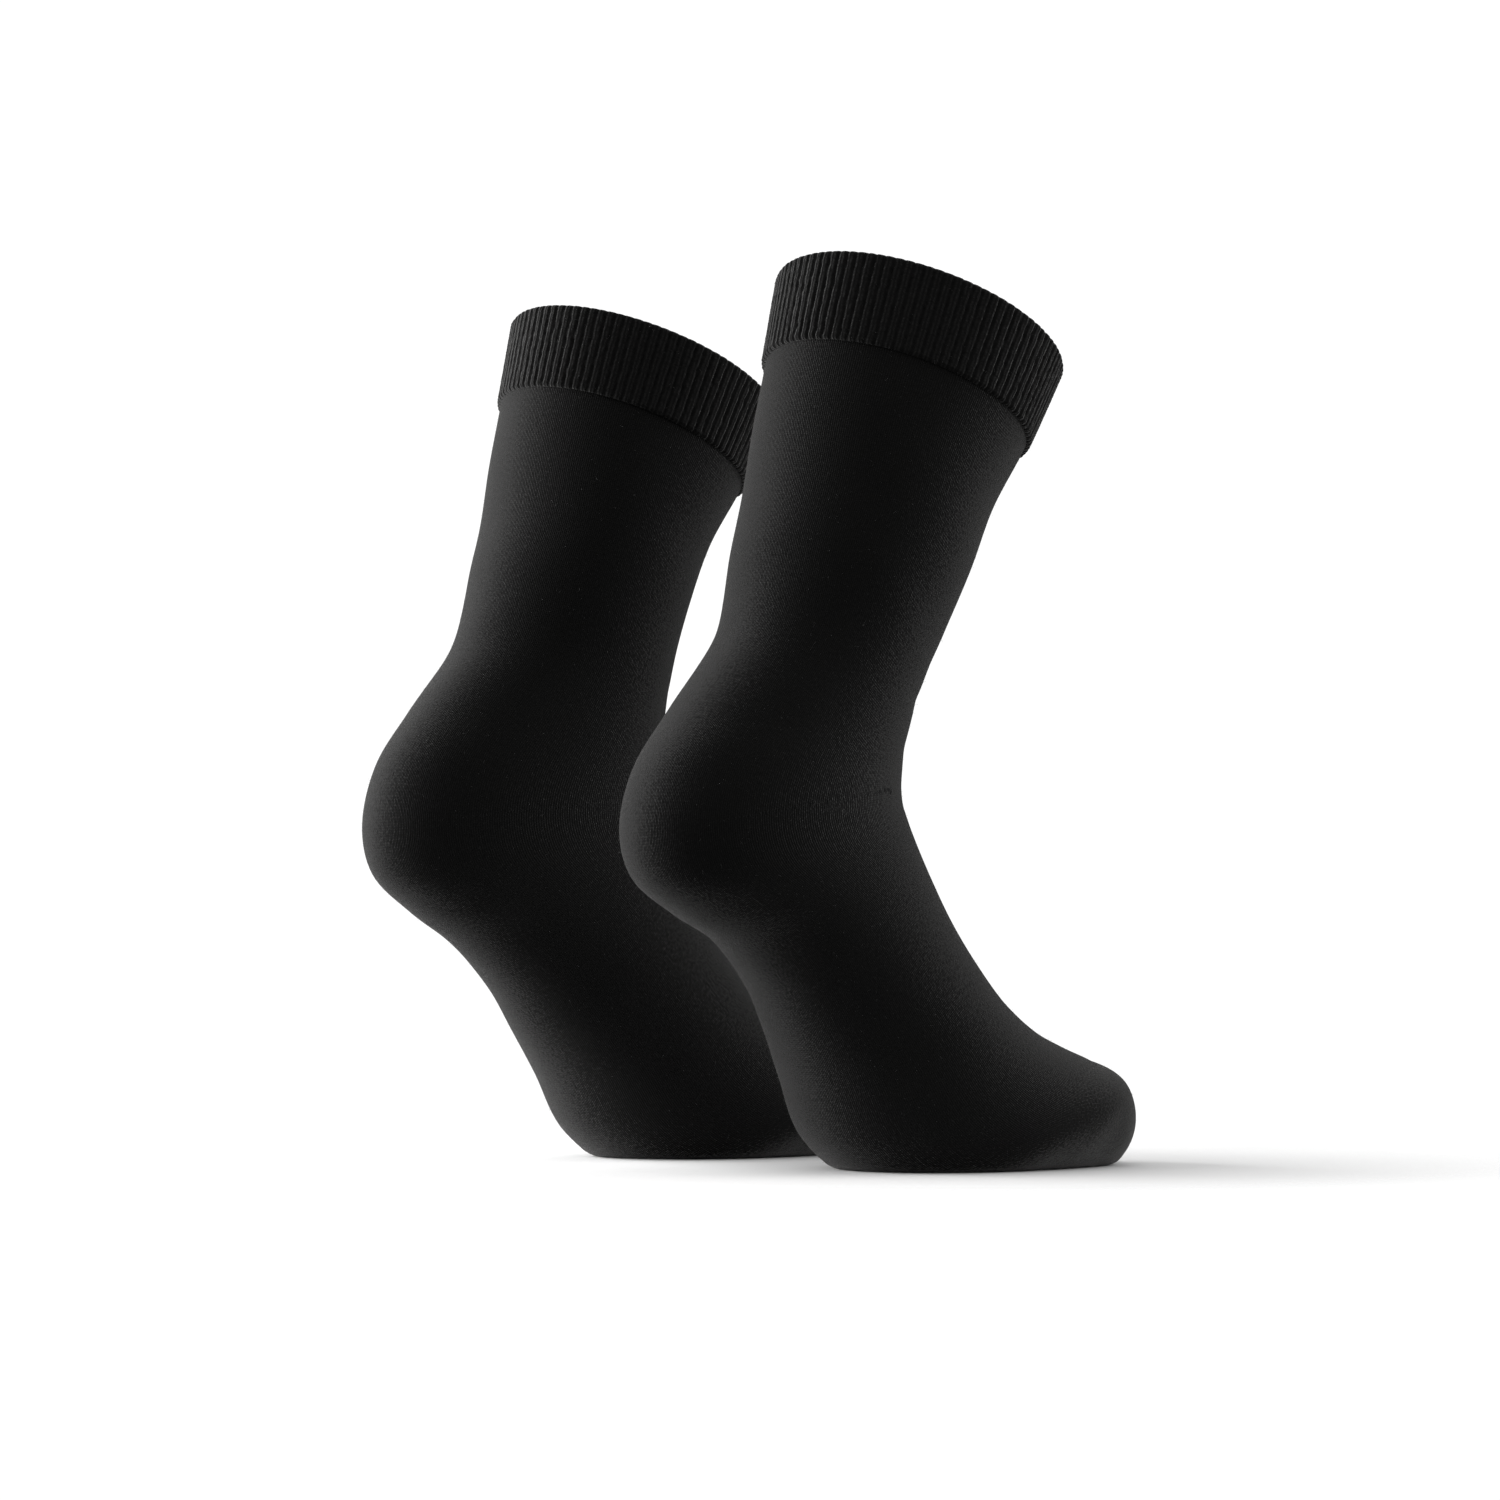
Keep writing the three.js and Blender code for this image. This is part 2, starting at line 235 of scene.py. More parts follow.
class FootForm:
    """The smooth form that fills the right sock, as rings spaced down its middle line."""

    PROBE = 0.01  # step for the slopes of the surface
    GORE_ANGLE = math.radians(20)  # where the heel pocket's two edges meet
    POCKET_FULLNESS = 0.75  # 1 gives the pocket straight edges, less rounds them out
    FLOOR_ROUNDING = 2.4  # how softly the sole turns into its flat patch

    def __init__(self, sections: Sequence[Section]) -> None:
        """Space the sections down the middle line and find the slope of each column.

        Args:
            sections: The rings from the rim to the toe seam.
        """
        rows = [(*s.instep, *s.sole, s.width, s.bow, s.flare, s.sway) for s in sections]
        self.table = np.array(rows)
        middles = (self.table[:, 0:2] + self.table[:, 2:4]) / 2
        steps = np.linalg.norm(np.diff(middles, axis=0), axis=1)
        self.stations = np.concatenate([[0.0], np.cumsum(steps)])
        self.names = [s.name for s in sections]
        after = np.minimum(np.arange(len(rows)) + 1, len(rows) - 1)
        before = np.maximum(np.arange(len(rows)) - 1, 0)
        run = (self.stations[after] - self.stations[before])[:, None]
        self.slopes = (self.table[after] - self.table[before]) / run

    def station(self, name: str) -> float:
        """The distance of a named section down the middle line."""
        return float(self.stations[self.names.index(name)])

    def measures(self, distance: np.ndarray) -> np.ndarray:
        """Blend the section table at any distance, smoothly through every section.

        Args:
            distance: Distances down the middle line, of any shape.

        Returns:
            The table's columns along a new last axis.
        """
        i = np.clip(np.searchsorted(self.stations, distance, side="right") - 1, 0, len(self.names) - 2)
        span = self.stations[i + 1] - self.stations[i]
        t = (distance - self.stations[i]) / span
        start = (1 + t * t * (2 * t - 3))[..., None]
        end = (t * t * (3 - 2 * t))[..., None]
        start_slope = (t * (t - 1) ** 2 * span)[..., None]
        end_slope = (t * t * (t - 1) * span)[..., None]
        straight = self.table[i] * start + self.table[i + 1] * end
        return straight + self.slopes[i] * start_slope + self.slopes[i + 1] * end_slope

    def surface(self, distance: np.ndarray, angle: np.ndarray) -> np.ndarray:
        """Points of the form before the floor flattens it.

        Args:
            distance: Distances down the middle line.
            angle: Angles around the tube, of the same shape.

        Returns:
            The points, with x, y, z along a new last axis.
        """
        m = np.moveaxis(self.measures(distance), -1, 0)
        instep_y, instep_z, sole_y, sole_z, width, bow, flare, sway = m
        across = np.cos(angle)
        along = np.sin(angle) + flare * across**2
        depth_y = (instep_y - sole_y) / 2
        depth_z = (instep_z - sole_z) / 2
        hang = bow * across**2 / np.hypot(depth_y, depth_z)
        x = width / 2 * across - sway
        y = (instep_y + sole_y) / 2 + depth_y * along - depth_z * hang
        z = (instep_z + sole_z) / 2 + depth_z * along + depth_y * hang
        return np.stack([x, y, z], axis=-1)

    def outward(self, distance: np.ndarray, angle: np.ndarray) -> np.ndarray:
        """Unit vectors that point out of the form, for the arguments of `surface`."""
        step = self.PROBE
        down = self.surface(distance + step, angle) - self.surface(distance - step, angle)
        around = self.surface(distance, angle + step) - self.surface(distance, angle - step)
        normal = np.cross(down, around)
        return normal / np.linalg.norm(normal, axis=-1, keepdims=True)

    def relief(self, distance: np.ndarray, angle: np.ndarray) -> np.ndarray:
        """How far the listed creases move the cloth outwards, in millimetres."""
        total = np.zeros_like(distance)
        for crease in CREASES:
            turn = (np.degrees(angle) - crease.angle + 180) % 360 - 180
            share = turn / crease.reach
            middle = self.station(crease.at) + crease.shift + crease.slant * share
            across = (distance - middle) / crease.width
            total -= crease.depth * np.exp(-(across**2) - share**2)
        return total

    def cloth(self, distance: np.ndarray, angle: np.ndarray, proud: float | np.ndarray) -> np.ndarray:
        """Points of the cloth, flattened softly where it meets the floor.

        Args:
            distance: Distances down the middle line.
            angle: Angles around the tube, of the same shape.
            proud: How far outside the form the points lie.

        Returns:
            The points in the right sock's own frame.
        """
        lift = (proud + self.relief(distance, angle))[..., None]
        points = self.surface(distance, angle) + self.outward(distance, angle) * lift
        floor = WALL - proud
        height = points[..., 2] - floor
        near = np.clip(height + self.FLOOR_ROUNDING, 0, None) ** 2 / (4 * self.FLOOR_ROUNDING)
        points[..., 2] = floor + np.where(height > self.FLOOR_ROUNDING, height, near)
        return points

    def openness(self, angle: np.ndarray) -> np.ndarray:
        """How far open the heel pocket is at an angle: 0 past the gore points, 1 at the back."""
        gore = math.sin(self.GORE_ANGLE)
        share = np.clip((gore - np.sin(angle)) / (gore + 1), 0, None)
        return share**self.POCKET_FULLNESS

    def pocket_edge(self, angle: np.ndarray, limit: str) -> np.ndarray:
        """The distance of a heel pocket's edge at each angle, towards the named section."""
        gore = self.station("gore")
        return gore + (self.station(limit) - gore) * self.openness(angle)


class Operation(Enum):
    """Operations of a Math node that the finishes and trees use."""

    ADD = "ADD"
    SUBTRACT = "SUBTRACT"
    MULTIPLY = "MULTIPLY"
    DIVIDE = "DIVIDE"
    POWER = "POWER"
    FRACT = "FRACT"
    FLOOR = "FLOOR"
    COSINE = "COSINE"
    ABSOLUTE = "ABSOLUTE"
    MAXIMUM = "MAXIMUM"
    MINIMUM = "MINIMUM"


class Socket:
    """An output socket that Python's operators turn into Math and Vector Math nodes."""

    def __init__(self, graph: Graph, socket: bpy.types.NodeSocket) -> None:
        """Keep the graph that new nodes go to and the socket itself."""
        self.graph = graph
        self.socket = socket

    @property
    def is_vector(self) -> bool:
        """Whether the socket carries three numbers."""
        return self.socket.type in {"VECTOR", "ROTATION"}

    def math(self, operation: Operation, *others: Socket | float, flipped: bool = False) -> Socket:
        """Add the node of one operation on this socket.

        Args:
            operation: What the node does.
            others: The further operands, in order.
            flipped: Whether this socket is the last operand.

        Returns:
            The node's result.
        """
        operands = [*others, self] if flipped else [self, *others]
        vector = any(isinstance(o, Socket) and o.is_vector for o in operands)
        scaled = vector and operation is Operation.MULTIPLY
        if scaled and not all(isinstance(o, Socket) and o.is_vector for o in operands):
            arrow, factor = sorted(operands, key=lambda o: not (isinstance(o, Socket) and o.is_vector))
            node = self.graph.add("ShaderNodeVectorMath", {"operation": "SCALE"}, {0: arrow, 3: factor})
            return Socket(self.graph, node.outputs[0])
        kind = "ShaderNodeVectorMath" if vector else "ShaderNodeMath"
        node = self.graph.add(kind, {"operation": operation.value}, dict(enumerate(operands)))
        return Socket(self.graph, node.outputs[0])

    def __add__(self, other: Socket | float) -> Socket:
        """self + other."""
        return self.math(Operation.ADD, other)

    def __radd__(self, other: float) -> Socket:
        """other + self."""
        return self.math(Operation.ADD, other, flipped=True)

    def __sub__(self, other: Socket | float) -> Socket:
        """self - other."""
        return self.math(Operation.SUBTRACT, other)

    def __rsub__(self, other: float) -> Socket:
        """other - self."""
        return self.math(Operation.SUBTRACT, other, flipped=True)

    def __mul__(self, other: Socket | float) -> Socket:
        """self * other."""
        return self.math(Operation.MULTIPLY, other)

    def __rmul__(self, other: float) -> Socket:
        """other * self."""
        return self.math(Operation.MULTIPLY, other, flipped=True)

    def __truediv__(self, other: Socket | float) -> Socket:
        """self / other."""
        return self.math(Operation.DIVIDE, other)

    def __pow__(self, other: Socket | float) -> Socket:
        """self ** other."""
        return self.math(Operation.POWER, other)

    def fract(self) -> Socket:
        """The part after the decimal point."""
        return self.math(Operation.FRACT)

    def floor(self) -> Socket:
        """The whole number below."""
        return self.math(Operation.FLOOR)

    def absolute(self) -> Socket:
        """The value without its sign."""
        return self.math(Operation.ABSOLUTE)

    def at_least(self, low: float) -> Socket:
        """The value, or `low` where that is more."""
        return self.math(Operation.MAXIMUM, low)

    def at_most(self, high: float) -> Socket:
        """The value, or `high` where that is less."""
        return self.math(Operation.MINIMUM, high)

    def wave(self) -> Socket:
        """A cosine wave of period 1 between 0 at whole numbers and 1 halfway."""
        return 0.5 - 0.5 * (self * FULL_TURN).math(Operation.COSINE)


class Graph:
    """Adds nodes and links to one node tree."""

    def __init__(self, tree: bpy.types.NodeTree) -> None:
        """Start on a tree."""
        self.tree = tree

    def noise(self, place: Socket, scale: float, detail: float, roughness: float = 0.5) -> Socket:
        """Noise from about 0 to 1 over a place, with its smallest spots finer as `detail` grows."""
        values = {"Vector": place, "Scale": scale, "Detail": detail, "Roughness": roughness}
        return self.out("ShaderNodeTexNoise", values=values)

    def add(
        self,
        kind: str,
        settings: Mapping[str, object] | None = None,
        values: Mapping[str | int, object] | None = None,
    ) -> bpy.types.Node:
        """Add a node.

        Args:
            kind: The node's type.
            settings: Its own properties, set before its sockets.
            values: A value or a Socket for each input, by name or index.

        Returns:
            The node.
        """
        node = self.tree.nodes.new(kind)
        for name, value in (settings or {}).items():
            setattr(node, name, value)
        for key, value in (values or {}).items():
            if isinstance(value, Socket):
                self.tree.links.new(value.socket, node.inputs[key])
            else:
                node.inputs[key].default_value = value
        return node

    def out(
        self,
        kind: str,
        settings: Mapping[str, object] | None = None,
        values: Mapping[str | int, object] | None = None,
        output: str | int = 0,
    ) -> Socket:
        """Add a node and return one of its outputs as a Socket, with the arguments of `add`."""
        return Socket(self, self.add(kind, settings, values).outputs[output])

    def mix_colour(self, factor: Socket, low: Sequence[float], high: Sequence[float]) -> Socket:
        """Blend two colours.

        Args:
            factor: 0 for the first colour and 1 for the second.
            low: The first colour.
            high: The second colour.

        Returns:
            The blended colour.
        """
        node = self.add("ShaderNodeMix", {"data_type": "RGBA"})
        inputs = {socket.identifier: socket for socket in node.inputs}
        self.tree.links.new(factor.socket, inputs["Factor_Float"])
        inputs["A_Color"].default_value = low
        inputs["B_Color"].default_value = high
        result = next(s for s in node.outputs if s.identifier == "Result_Color")
        return Socket(self, result)


def grey(level: float, warmth: float = 0.0) -> tuple[float, float, float, float]:
    """An opaque grey, a little warmer in red than in blue by `warmth`."""
    return (level * (1 + warmth), level, level * (1 - warmth), 1.0)


class Finish:
    """A procedural cloth finish that builds itself once and is shared by the pieces that wear it."""

    name: str

    def material(self) -> bpy.types.Material:
        """The finish as a material, built the first time it is asked for."""
        found = bpy.data.materials.get(self.name)
        if found is not None:
            return found
        material = bpy.data.materials.new(self.name)
        material.use_nodes = True
        material.node_tree.nodes.clear()
        graph = Graph(material.node_tree)
        shader = graph.add("ShaderNodeBsdfPrincipled")
        self.dress(graph, shader)
        graph.add("ShaderNodeOutputMaterial", values={"Surface": Socket(graph, shader.outputs[0])})
        return material

    def dress(self, graph: Graph, shader: bpy.types.Node) -> None:
        """Set the shader's sockets; each finish has its own way."""
        raise NotImplementedError

    @staticmethod
    def link(graph: Graph, value: Socket, shader: bpy.types.Node, socket: str) -> None:
        """Feed a value into one of the shader's sockets."""
        graph.tree.links.new(value.socket, shader.inputs[socket])


@dataclass(frozen=True)
class KnitFinish(Finish):
    """Plain knit whose loops follow the knit coordinates: u counts wales and v counts courses.

    The groove grey between the yarns is darker than the crown grey on them, and that difference is
    painted shade in the grooves. `relief` is the loops' height in metres, `slant` how far a loop's legs
    lean over one course, `leg` where the middle of a leg lies from the middle of its wale, and the sheen
    is the soft nap that catches light from the side.
    `wander` is how far the loops stray from their wale and course, and `grain` how fine the uneven
    strokes along the wales are.
    """

    name: str
    # the groove grey is painted shade: darker between the yarns, where shade falls
    shaded_groove: float
    crown: float
    relief: float
    slant: float
    leg: float
    sheen: float
    sheen_roughness: float
    sheen_grey: float
    roughness: float = 0.86
    mottle_scale: float = 55.0
    yarn_scale: float = 1100.0
    grain: float = 1.6
    stroke: float = 0.45
    wander: float = 0.4
    specular: float = 0.06

    def loops(self, graph: Graph) -> Socket:
        """The height of the knitted loops, from 0 in the grooves to 1 on the yarns' crowns.

        Args:
            graph: The material's graph.

        Returns:
            The height.
        """
        knit = graph.out("ShaderNodeUVMap", {"uv_map": "knit"})
        parts = graph.add("ShaderNodeSeparateXYZ", values={0: knit})
        wale, course = Socket(graph, parts.outputs[0]), Socket(graph, parts.outputs[1])
        stray = (graph.noise(knit, 0.4, 1.0) - 0.5) * self.wander
        strokes = graph.out("ShaderNodeCombineXYZ", values={0: wale, 1: course * self.stroke})
        grain = graph.noise(strokes, self.grain, 2.0)
        across = ((wale + stray * 0.5).fract() - 0.5).absolute()
        legs = (across / (2 * self.leg)).at_most(1.0).wave()
        strands = (course + across * self.slant + stray).wave()
        uneven = (grain * 1.9 - 0.4).at_least(0.0)
        return legs * (0.6 + strands * 0.4) * uneven

    def dress(self, graph: Graph, shader: bpy.types.Node) -> None:
        """Lay loops with painted shade in their grooves, yarn fibres, uneven dye and nap on the shader.

        Args:
            graph: The material's graph.
            shader: Its Principled shader.
        """
        place = graph.out("ShaderNodeTexCoord", output="Object")
        fibres = graph.noise(place, self.yarn_scale, 2.0, roughness=0.6)
        mottle = graph.noise(place, self.mottle_scale, 3.0)
        loops = self.loops(graph)
        # the tone is painted shade, darker in the grooves between the loops, mixed with random fibres and
        # uneven dye
        groove_shade_and_dye = (loops * 0.7 + fibres * 0.3) * (0.7 + mottle * 0.6)
        colour = graph.mix_colour(groove_shade_and_dye, grey(self.shaded_groove), grey(self.crown, 0.02))
        self.link(graph, colour, shader, "Base Color")
        self.link(graph, self.roughness + 0.12 * (1.0 - loops), shader, "Roughness")
        height = loops * 0.75 + fibres * 0.25
        values = {"Strength": 1.0, "Distance": self.relief, "Height": height}
        bump = graph.out("ShaderNodeBump", values=values)
        self.link(graph, bump, shader, "Normal")
        shader.inputs["Specular IOR Level"].default_value = self.specular
        shader.inputs["Sheen Weight"].default_value = self.sheen
        shader.inputs["Sheen Roughness"].default_value = self.sheen_roughness
        shader.inputs["Sheen Tint"].default_value = grey(self.sheen_grey, 0.01)


@dataclass(frozen=True)
class YarnFinish(Finish):
    """A black yarn of the linking seams, or a loose fibre of the nap, by its own two greys."""

    name: str
    core: float
    ply: float
    ply_scale: float
    sheen: float
    roughness: float = 0.75

    def dress(self, graph: Graph, shader: bpy.types.Node) -> None:
        """Twist light and dark plies along the yarn.

        Args:
            graph: The material's graph.
            shader: Its Principled shader.
        """
        place = graph.out("ShaderNodeTexCoord", output="Object")
        plies = graph.noise(place, self.ply_scale, 2.0)
        self.link(graph, graph.mix_colour(plies, grey(self.core), grey(self.ply)), shader, "Base Color")
        self.link(graph, self.roughness + 0.2 * plies, shader, "Roughness")
        shader.inputs["Specular IOR Level"].default_value = 0.2
        shader.inputs["Sheen Weight"].default_value = self.sheen
        shader.inputs["Sheen Roughness"].default_value = 0.5


@dataclass(frozen=True)
class FloorFinish(Finish):
    """The plain pale studio floor, which fades into the backdrop between two distances in metres."""

    name: str = "pale_floor"
    level: float = 0.66
    fade_start: float = 0.12
    fade_end: float = 0.27

    def dress(self, graph: Graph, shader: bpy.types.Node) -> None:
        """Set a matt pale grey that fades away from the pair."""
        place = graph.out("ShaderNodeTexCoord", output="Object")
        reach = graph.out("ShaderNodeVectorMath", {"operation": "LENGTH"}, {0: place}, output="Value")
        left = (self.fade_end - reach) / (self.fade_end - self.fade_start)
        self.link(graph, left.at_least(0.0).at_most(1.0), shader, "Alpha")
        shader.inputs["Base Color"].default_value = grey(self.level)
        shader.inputs["Roughness"].default_value = 0.9
        shader.inputs["Specular IOR Level"].default_value = 0.1


# the first grey of each knit is its painted groove shade, the second its crown grey
JERSEY = KnitFinish("black_jersey", 0.0034, 0.0145, 0.00045, 1.6, 0.25, 0.27, 0.3, 0.8)
RIB_KNIT = KnitFinish("black_rib_knit", 0.0036, 0.02, 0.00038, 1.2, 0.19, 0.3, 0.3, 0.8)
LINKING_YARN = YarnFinish("black_linking_yarn", 0.004, 0.02, 2600.0, 0.16)
# the nap's greys, lighter than the cloth's, are painted light: they stand in for light shining through loose
# black fibres from behind
NAP_FIBRE_PAINTED_BACKLIGHT = YarnFinish("nap_fibre", 0.01, 0.05, 700.0, 0.3)


class ClothMesh:
    """Collects the points and faces of one closed cloth body with its knit coordinates."""

    def __init__(self, side: Side) -> None:
        """Start an empty body for one sock."""
        self.side = side
        self.blocks: list[np.ndarray] = []
        self.count = 0
        self.faces: list[list[int]] = []
        self.knit: list[tuple[float, float]] = []

    def add(self, points: np.ndarray) -> np.ndarray:
        """Add points of the right sock's own frame.

        Args:
            points: Array whose last axis is x, y, z in millimetres.

        Returns:
            Their indices, in the shape of the points.
        """
        flat = points.reshape(-1, 3)
        indices = np.arange(self.count, self.count + len(flat)).reshape(points.shape[:-1])
        self.blocks.append(flat)
        self.count += len(flat)
        return indices

    def face(self, corners: Sequence[int], knit: Sequence[tuple[float, float]]) -> None:
        """Add one face, turned for the sock's side.

        Args:
            corners: Point indices that run anticlockwise on the right sock, seen from outside.
            knit: The wale and course at each corner.
        """
        order = range(len(corners)) if self.side is Side.RIGHT else range(len(corners) - 1, -1, -1)
        kept = [k for k in order if corners[k] != corners[k - 1]]
        if len(kept) < 3:
            return
        self.faces.append([int(corners[k]) for k in kept])
        self.knit.extend(knit[k] for k in kept)

    def tube(self, rows: np.ndarray, wales: np.ndarray, courses: np.ndarray, inside: bool = False) -> None:
        """Fill the quads between rows of points that close around the tube.

        Args:
            rows: Point indices, one row for each ring.
            wales: The wale of each column and, last, that of the first column a turn later.
            courses: The course of each point, in the shape of `rows` plus that last column.
            inside: Whether the faces look into the tube.
        """
        columns = rows.shape[1]
        for i in range(rows.shape[0] - 1):
            for j in range(columns):
                n = (j + 1) % columns
                corners = [rows[i, j], rows[i + 1, j], rows[i + 1, n], rows[i, n]]
                knit = [
                    (wales[j], courses[i, j]),
                    (wales[j], courses[i + 1, j]),
                    (wales[j + 1], courses[i + 1, j + 1]),
                    (wales[j + 1], courses[i, j + 1]),
                ]
                if inside:
                    corners.reverse()
                    knit.reverse()
                self.face(corners, knit)

    def patch(self, rows: np.ndarray, wales: np.ndarray, courses: np.ndarray, inside: bool = False) -> None:
        """Fill the quads between open rows of points, with the arguments of `tube`."""
        for i in range(rows.shape[0] - 1):
            for j in range(rows.shape[1] - 1):
                corners = [rows[i, j], rows[i + 1, j], rows[i + 1, j + 1], rows[i, j + 1]]
                knit = [
                    (wales[j], courses[i, j]),
                    (wales[j], courses[i + 1, j]),
                    (wales[j + 1], courses[i + 1, j + 1]),
                    (wales[j + 1], courses[i, j + 1]),
                ]
                if inside:
                    corners.reverse()
                    knit.reverse()
                self.face(corners, knit)

    def finish(
        self,
        name: str,
        finish: Finish,
        attributes: Mapping[str, np.ndarray] | None = None,
    ) -> bpy.types.Object:
        """Make the object.

        Args:
            name: The piece's name.
            finish: What it wears.
            attributes: Numbers or vectors for each point, by name.

        Returns:
            The new object, in its place in the row's frame.
        """
        points = self.side.place(np.concatenate(self.blocks))
        mesh = bpy.data.meshes.new(name)
        mesh.from_pydata(points.tolist(), [], self.faces)
        layer = mesh.uv_layers.new(name="knit")
        layer.data.foreach_set("uv", np.array(self.knit, np.float32).ravel())
        mesh.polygons.foreach_set("use_smooth", [True] * len(mesh.polygons))
        for key, values in (attributes or {}).items():
            kind, slot = ("FLOAT_VECTOR", "vector") if values.ndim == 2 else ("FLOAT", "value")
            attribute = mesh.attributes.new(key, kind, "POINT")
            attribute.data.foreach_set(slot, values.astype(np.float32).ravel())
        mesh.materials.append(finish.material())
        mesh.validate()
        mesh.update()
        piece = bpy.data.objects.new(name, mesh)
        bpy.context.scene.collection.objects.link(piece)
        return piece


class Tree(Graph):
    """A Geometry Nodes tree with named inputs, applied to a piece and then made plain mesh."""

    SOCKETS = {float: "NodeSocketFloat", int: "NodeSocketInt", bpy.types.Material: "NodeSocketMaterial"}

    def __init__(self, name: str, inputs: Mapping[str, type]) -> None:
        """Make the tree's interface.

        Args:
            name: The tree's name.
            inputs: The type of each named input besides the geometry.
        """
        super().__init__(bpy.data.node_groups.new(name, "GeometryNodeTree"))
        face = self.tree.interface
        face.new_socket("Geometry", in_out="INPUT", socket_type="NodeSocketGeometry")
        for key, kind in inputs.items():
            face.new_socket(key, in_out="INPUT", socket_type=self.SOCKETS[kind])
        face.new_socket("Geometry", in_out="OUTPUT", socket_type="NodeSocketGeometry")
        self.start = self.tree.nodes.new("NodeGroupInput")

    def input(self, name: str) -> Socket:
        """One of the tree's named inputs."""
        return Socket(self, self.start.outputs[name])

    def attribute(self, name: str, vector: bool = False) -> Socket:
        """A named attribute of the geometry, a number or a vector."""
        kind = "FLOAT_VECTOR" if vector else "FLOAT"
        return self.out("GeometryNodeInputNamedAttribute", {"data_type": kind}, {"Name": name})

    def chance(self, low: float, high: float, seed: Socket, **values: Socket) -> Socket:
        """A random number from `low` to `high` for each element."""
        values = {2: low, 3: high, "Seed": seed, **values}
        return self.out("FunctionNodeRandomValue", {"data_type": "FLOAT"}, values, output=1)

    def bent_yarn(self, points: Sequence[Socket], steps: int, radius: Socket, sides: int) -> Socket:
        """A short round yarn bent along a start, a middle and an end point.

        Args:
            points: The three points.
            steps: How many steps its length has.
            radius: Its radius.
            sides: How many sides it has around.

        Returns:
            Its closed mesh.
        """
        bend = {"Resolution": steps, **dict(zip(("Start", "Middle", "End"), points))}
        curve = self.out("GeometryNodeCurveQuadraticBezier", values=bend)
        around = {"Resolution": sides, "Radius": radius}
        ring = self.out("GeometryNodeCurvePrimitiveCircle", {"mode": "RADIUS"}, around)
        values = {"Curve": curve, "Profile Curve": ring, "Fill Caps": True}
        return self.out("GeometryNodeCurveToMesh", values=values)

    def end(self, geometry: Socket) -> None:
        """Realize the instances, set the finish and hand the geometry out."""
        real = self.out("GeometryNodeRealizeInstances", values={0: geometry})
        values = {"Geometry": real, "Material": self.input("Finish")}
        worn = self.out("GeometryNodeSetMaterial", values=values)
        group_end = self.tree.nodes.new("NodeGroupOutput")
        self.tree.links.new(worn.socket, group_end.inputs[0])

    def apply(self, piece: bpy.types.Object, values: Mapping[str, object]) -> bpy.types.Object:
        """Run the tree on a piece and keep the result as its plain mesh.

        Args:
            piece: The piece that holds the tree's starting geometry.
            values: A value for each named input.

        Returns:
            The piece.
        """
        modifier = piece.modifiers.new(self.tree.name, "NODES")
        modifier.node_group = self.tree
        for item in self.tree.interface.items_tree:
            if item.in_out == "INPUT" and item.name in values:
                modifier[item.identifier] = values[item.name]
        bpy.context.view_layer.update()
        evaluated = piece.evaluated_get(bpy.context.evaluated_depsgraph_get())
        mesh = bpy.data.meshes.new_from_object(evaluated)
        piece.modifiers.clear()
        old = piece.data
        piece.data = mesh
        mesh.name = piece.name
        bpy.data.meshes.remove(old)
        return piece


def rib_tree() -> Tree:
    """Build the tree that raises the welt's ribs and their courses from a plain shell.

    Returns:
        A tree that reads the attributes rib, course, raise and outward.
    """
    inputs = {
        "Relief": float,
        "Course Relief": float,
        "Unevenness": float,
        "Seed": int,
        "Finish": bpy.types.Material,
    }
    tree = Tree("raise_ribs", inputs)
    rib, course = tree.attribute("rib"), tree.attribute("course")
    place = tree.out("GeometryNodeInputPosition")
    wander = tree.noise(place, 230.0, 1.5)
    grain = tree.noise(place, 850.0, 1.0)
    phase = rib + (wander - 0.5) * tree.input("Unevenness") + 0.5
    across = (phase.fract() * 2.0 - 1.0).absolute()
    cord = (1.0 - across**2.6).at_least(0.0) ** 0.7
    chance = tree.chance(0.82, 1.12, tree.input("Seed"), ID=phase.floor())
    stitch = (course.wave() * cord + (grain - 0.5) * 3.0) * tree.input("Course Relief")
    height = (cord * 2.0 - 1.0) * tree.input("Relief") * chance + stitch
    offset = tree.attribute("outward", vector=True) * (height * tree.attribute("raise"))
    moved = {"Geometry": tree.input("Geometry"), "Offset": offset}
    tree.end(tree.out("GeometryNodeSetPosition", values=moved))
    return tree


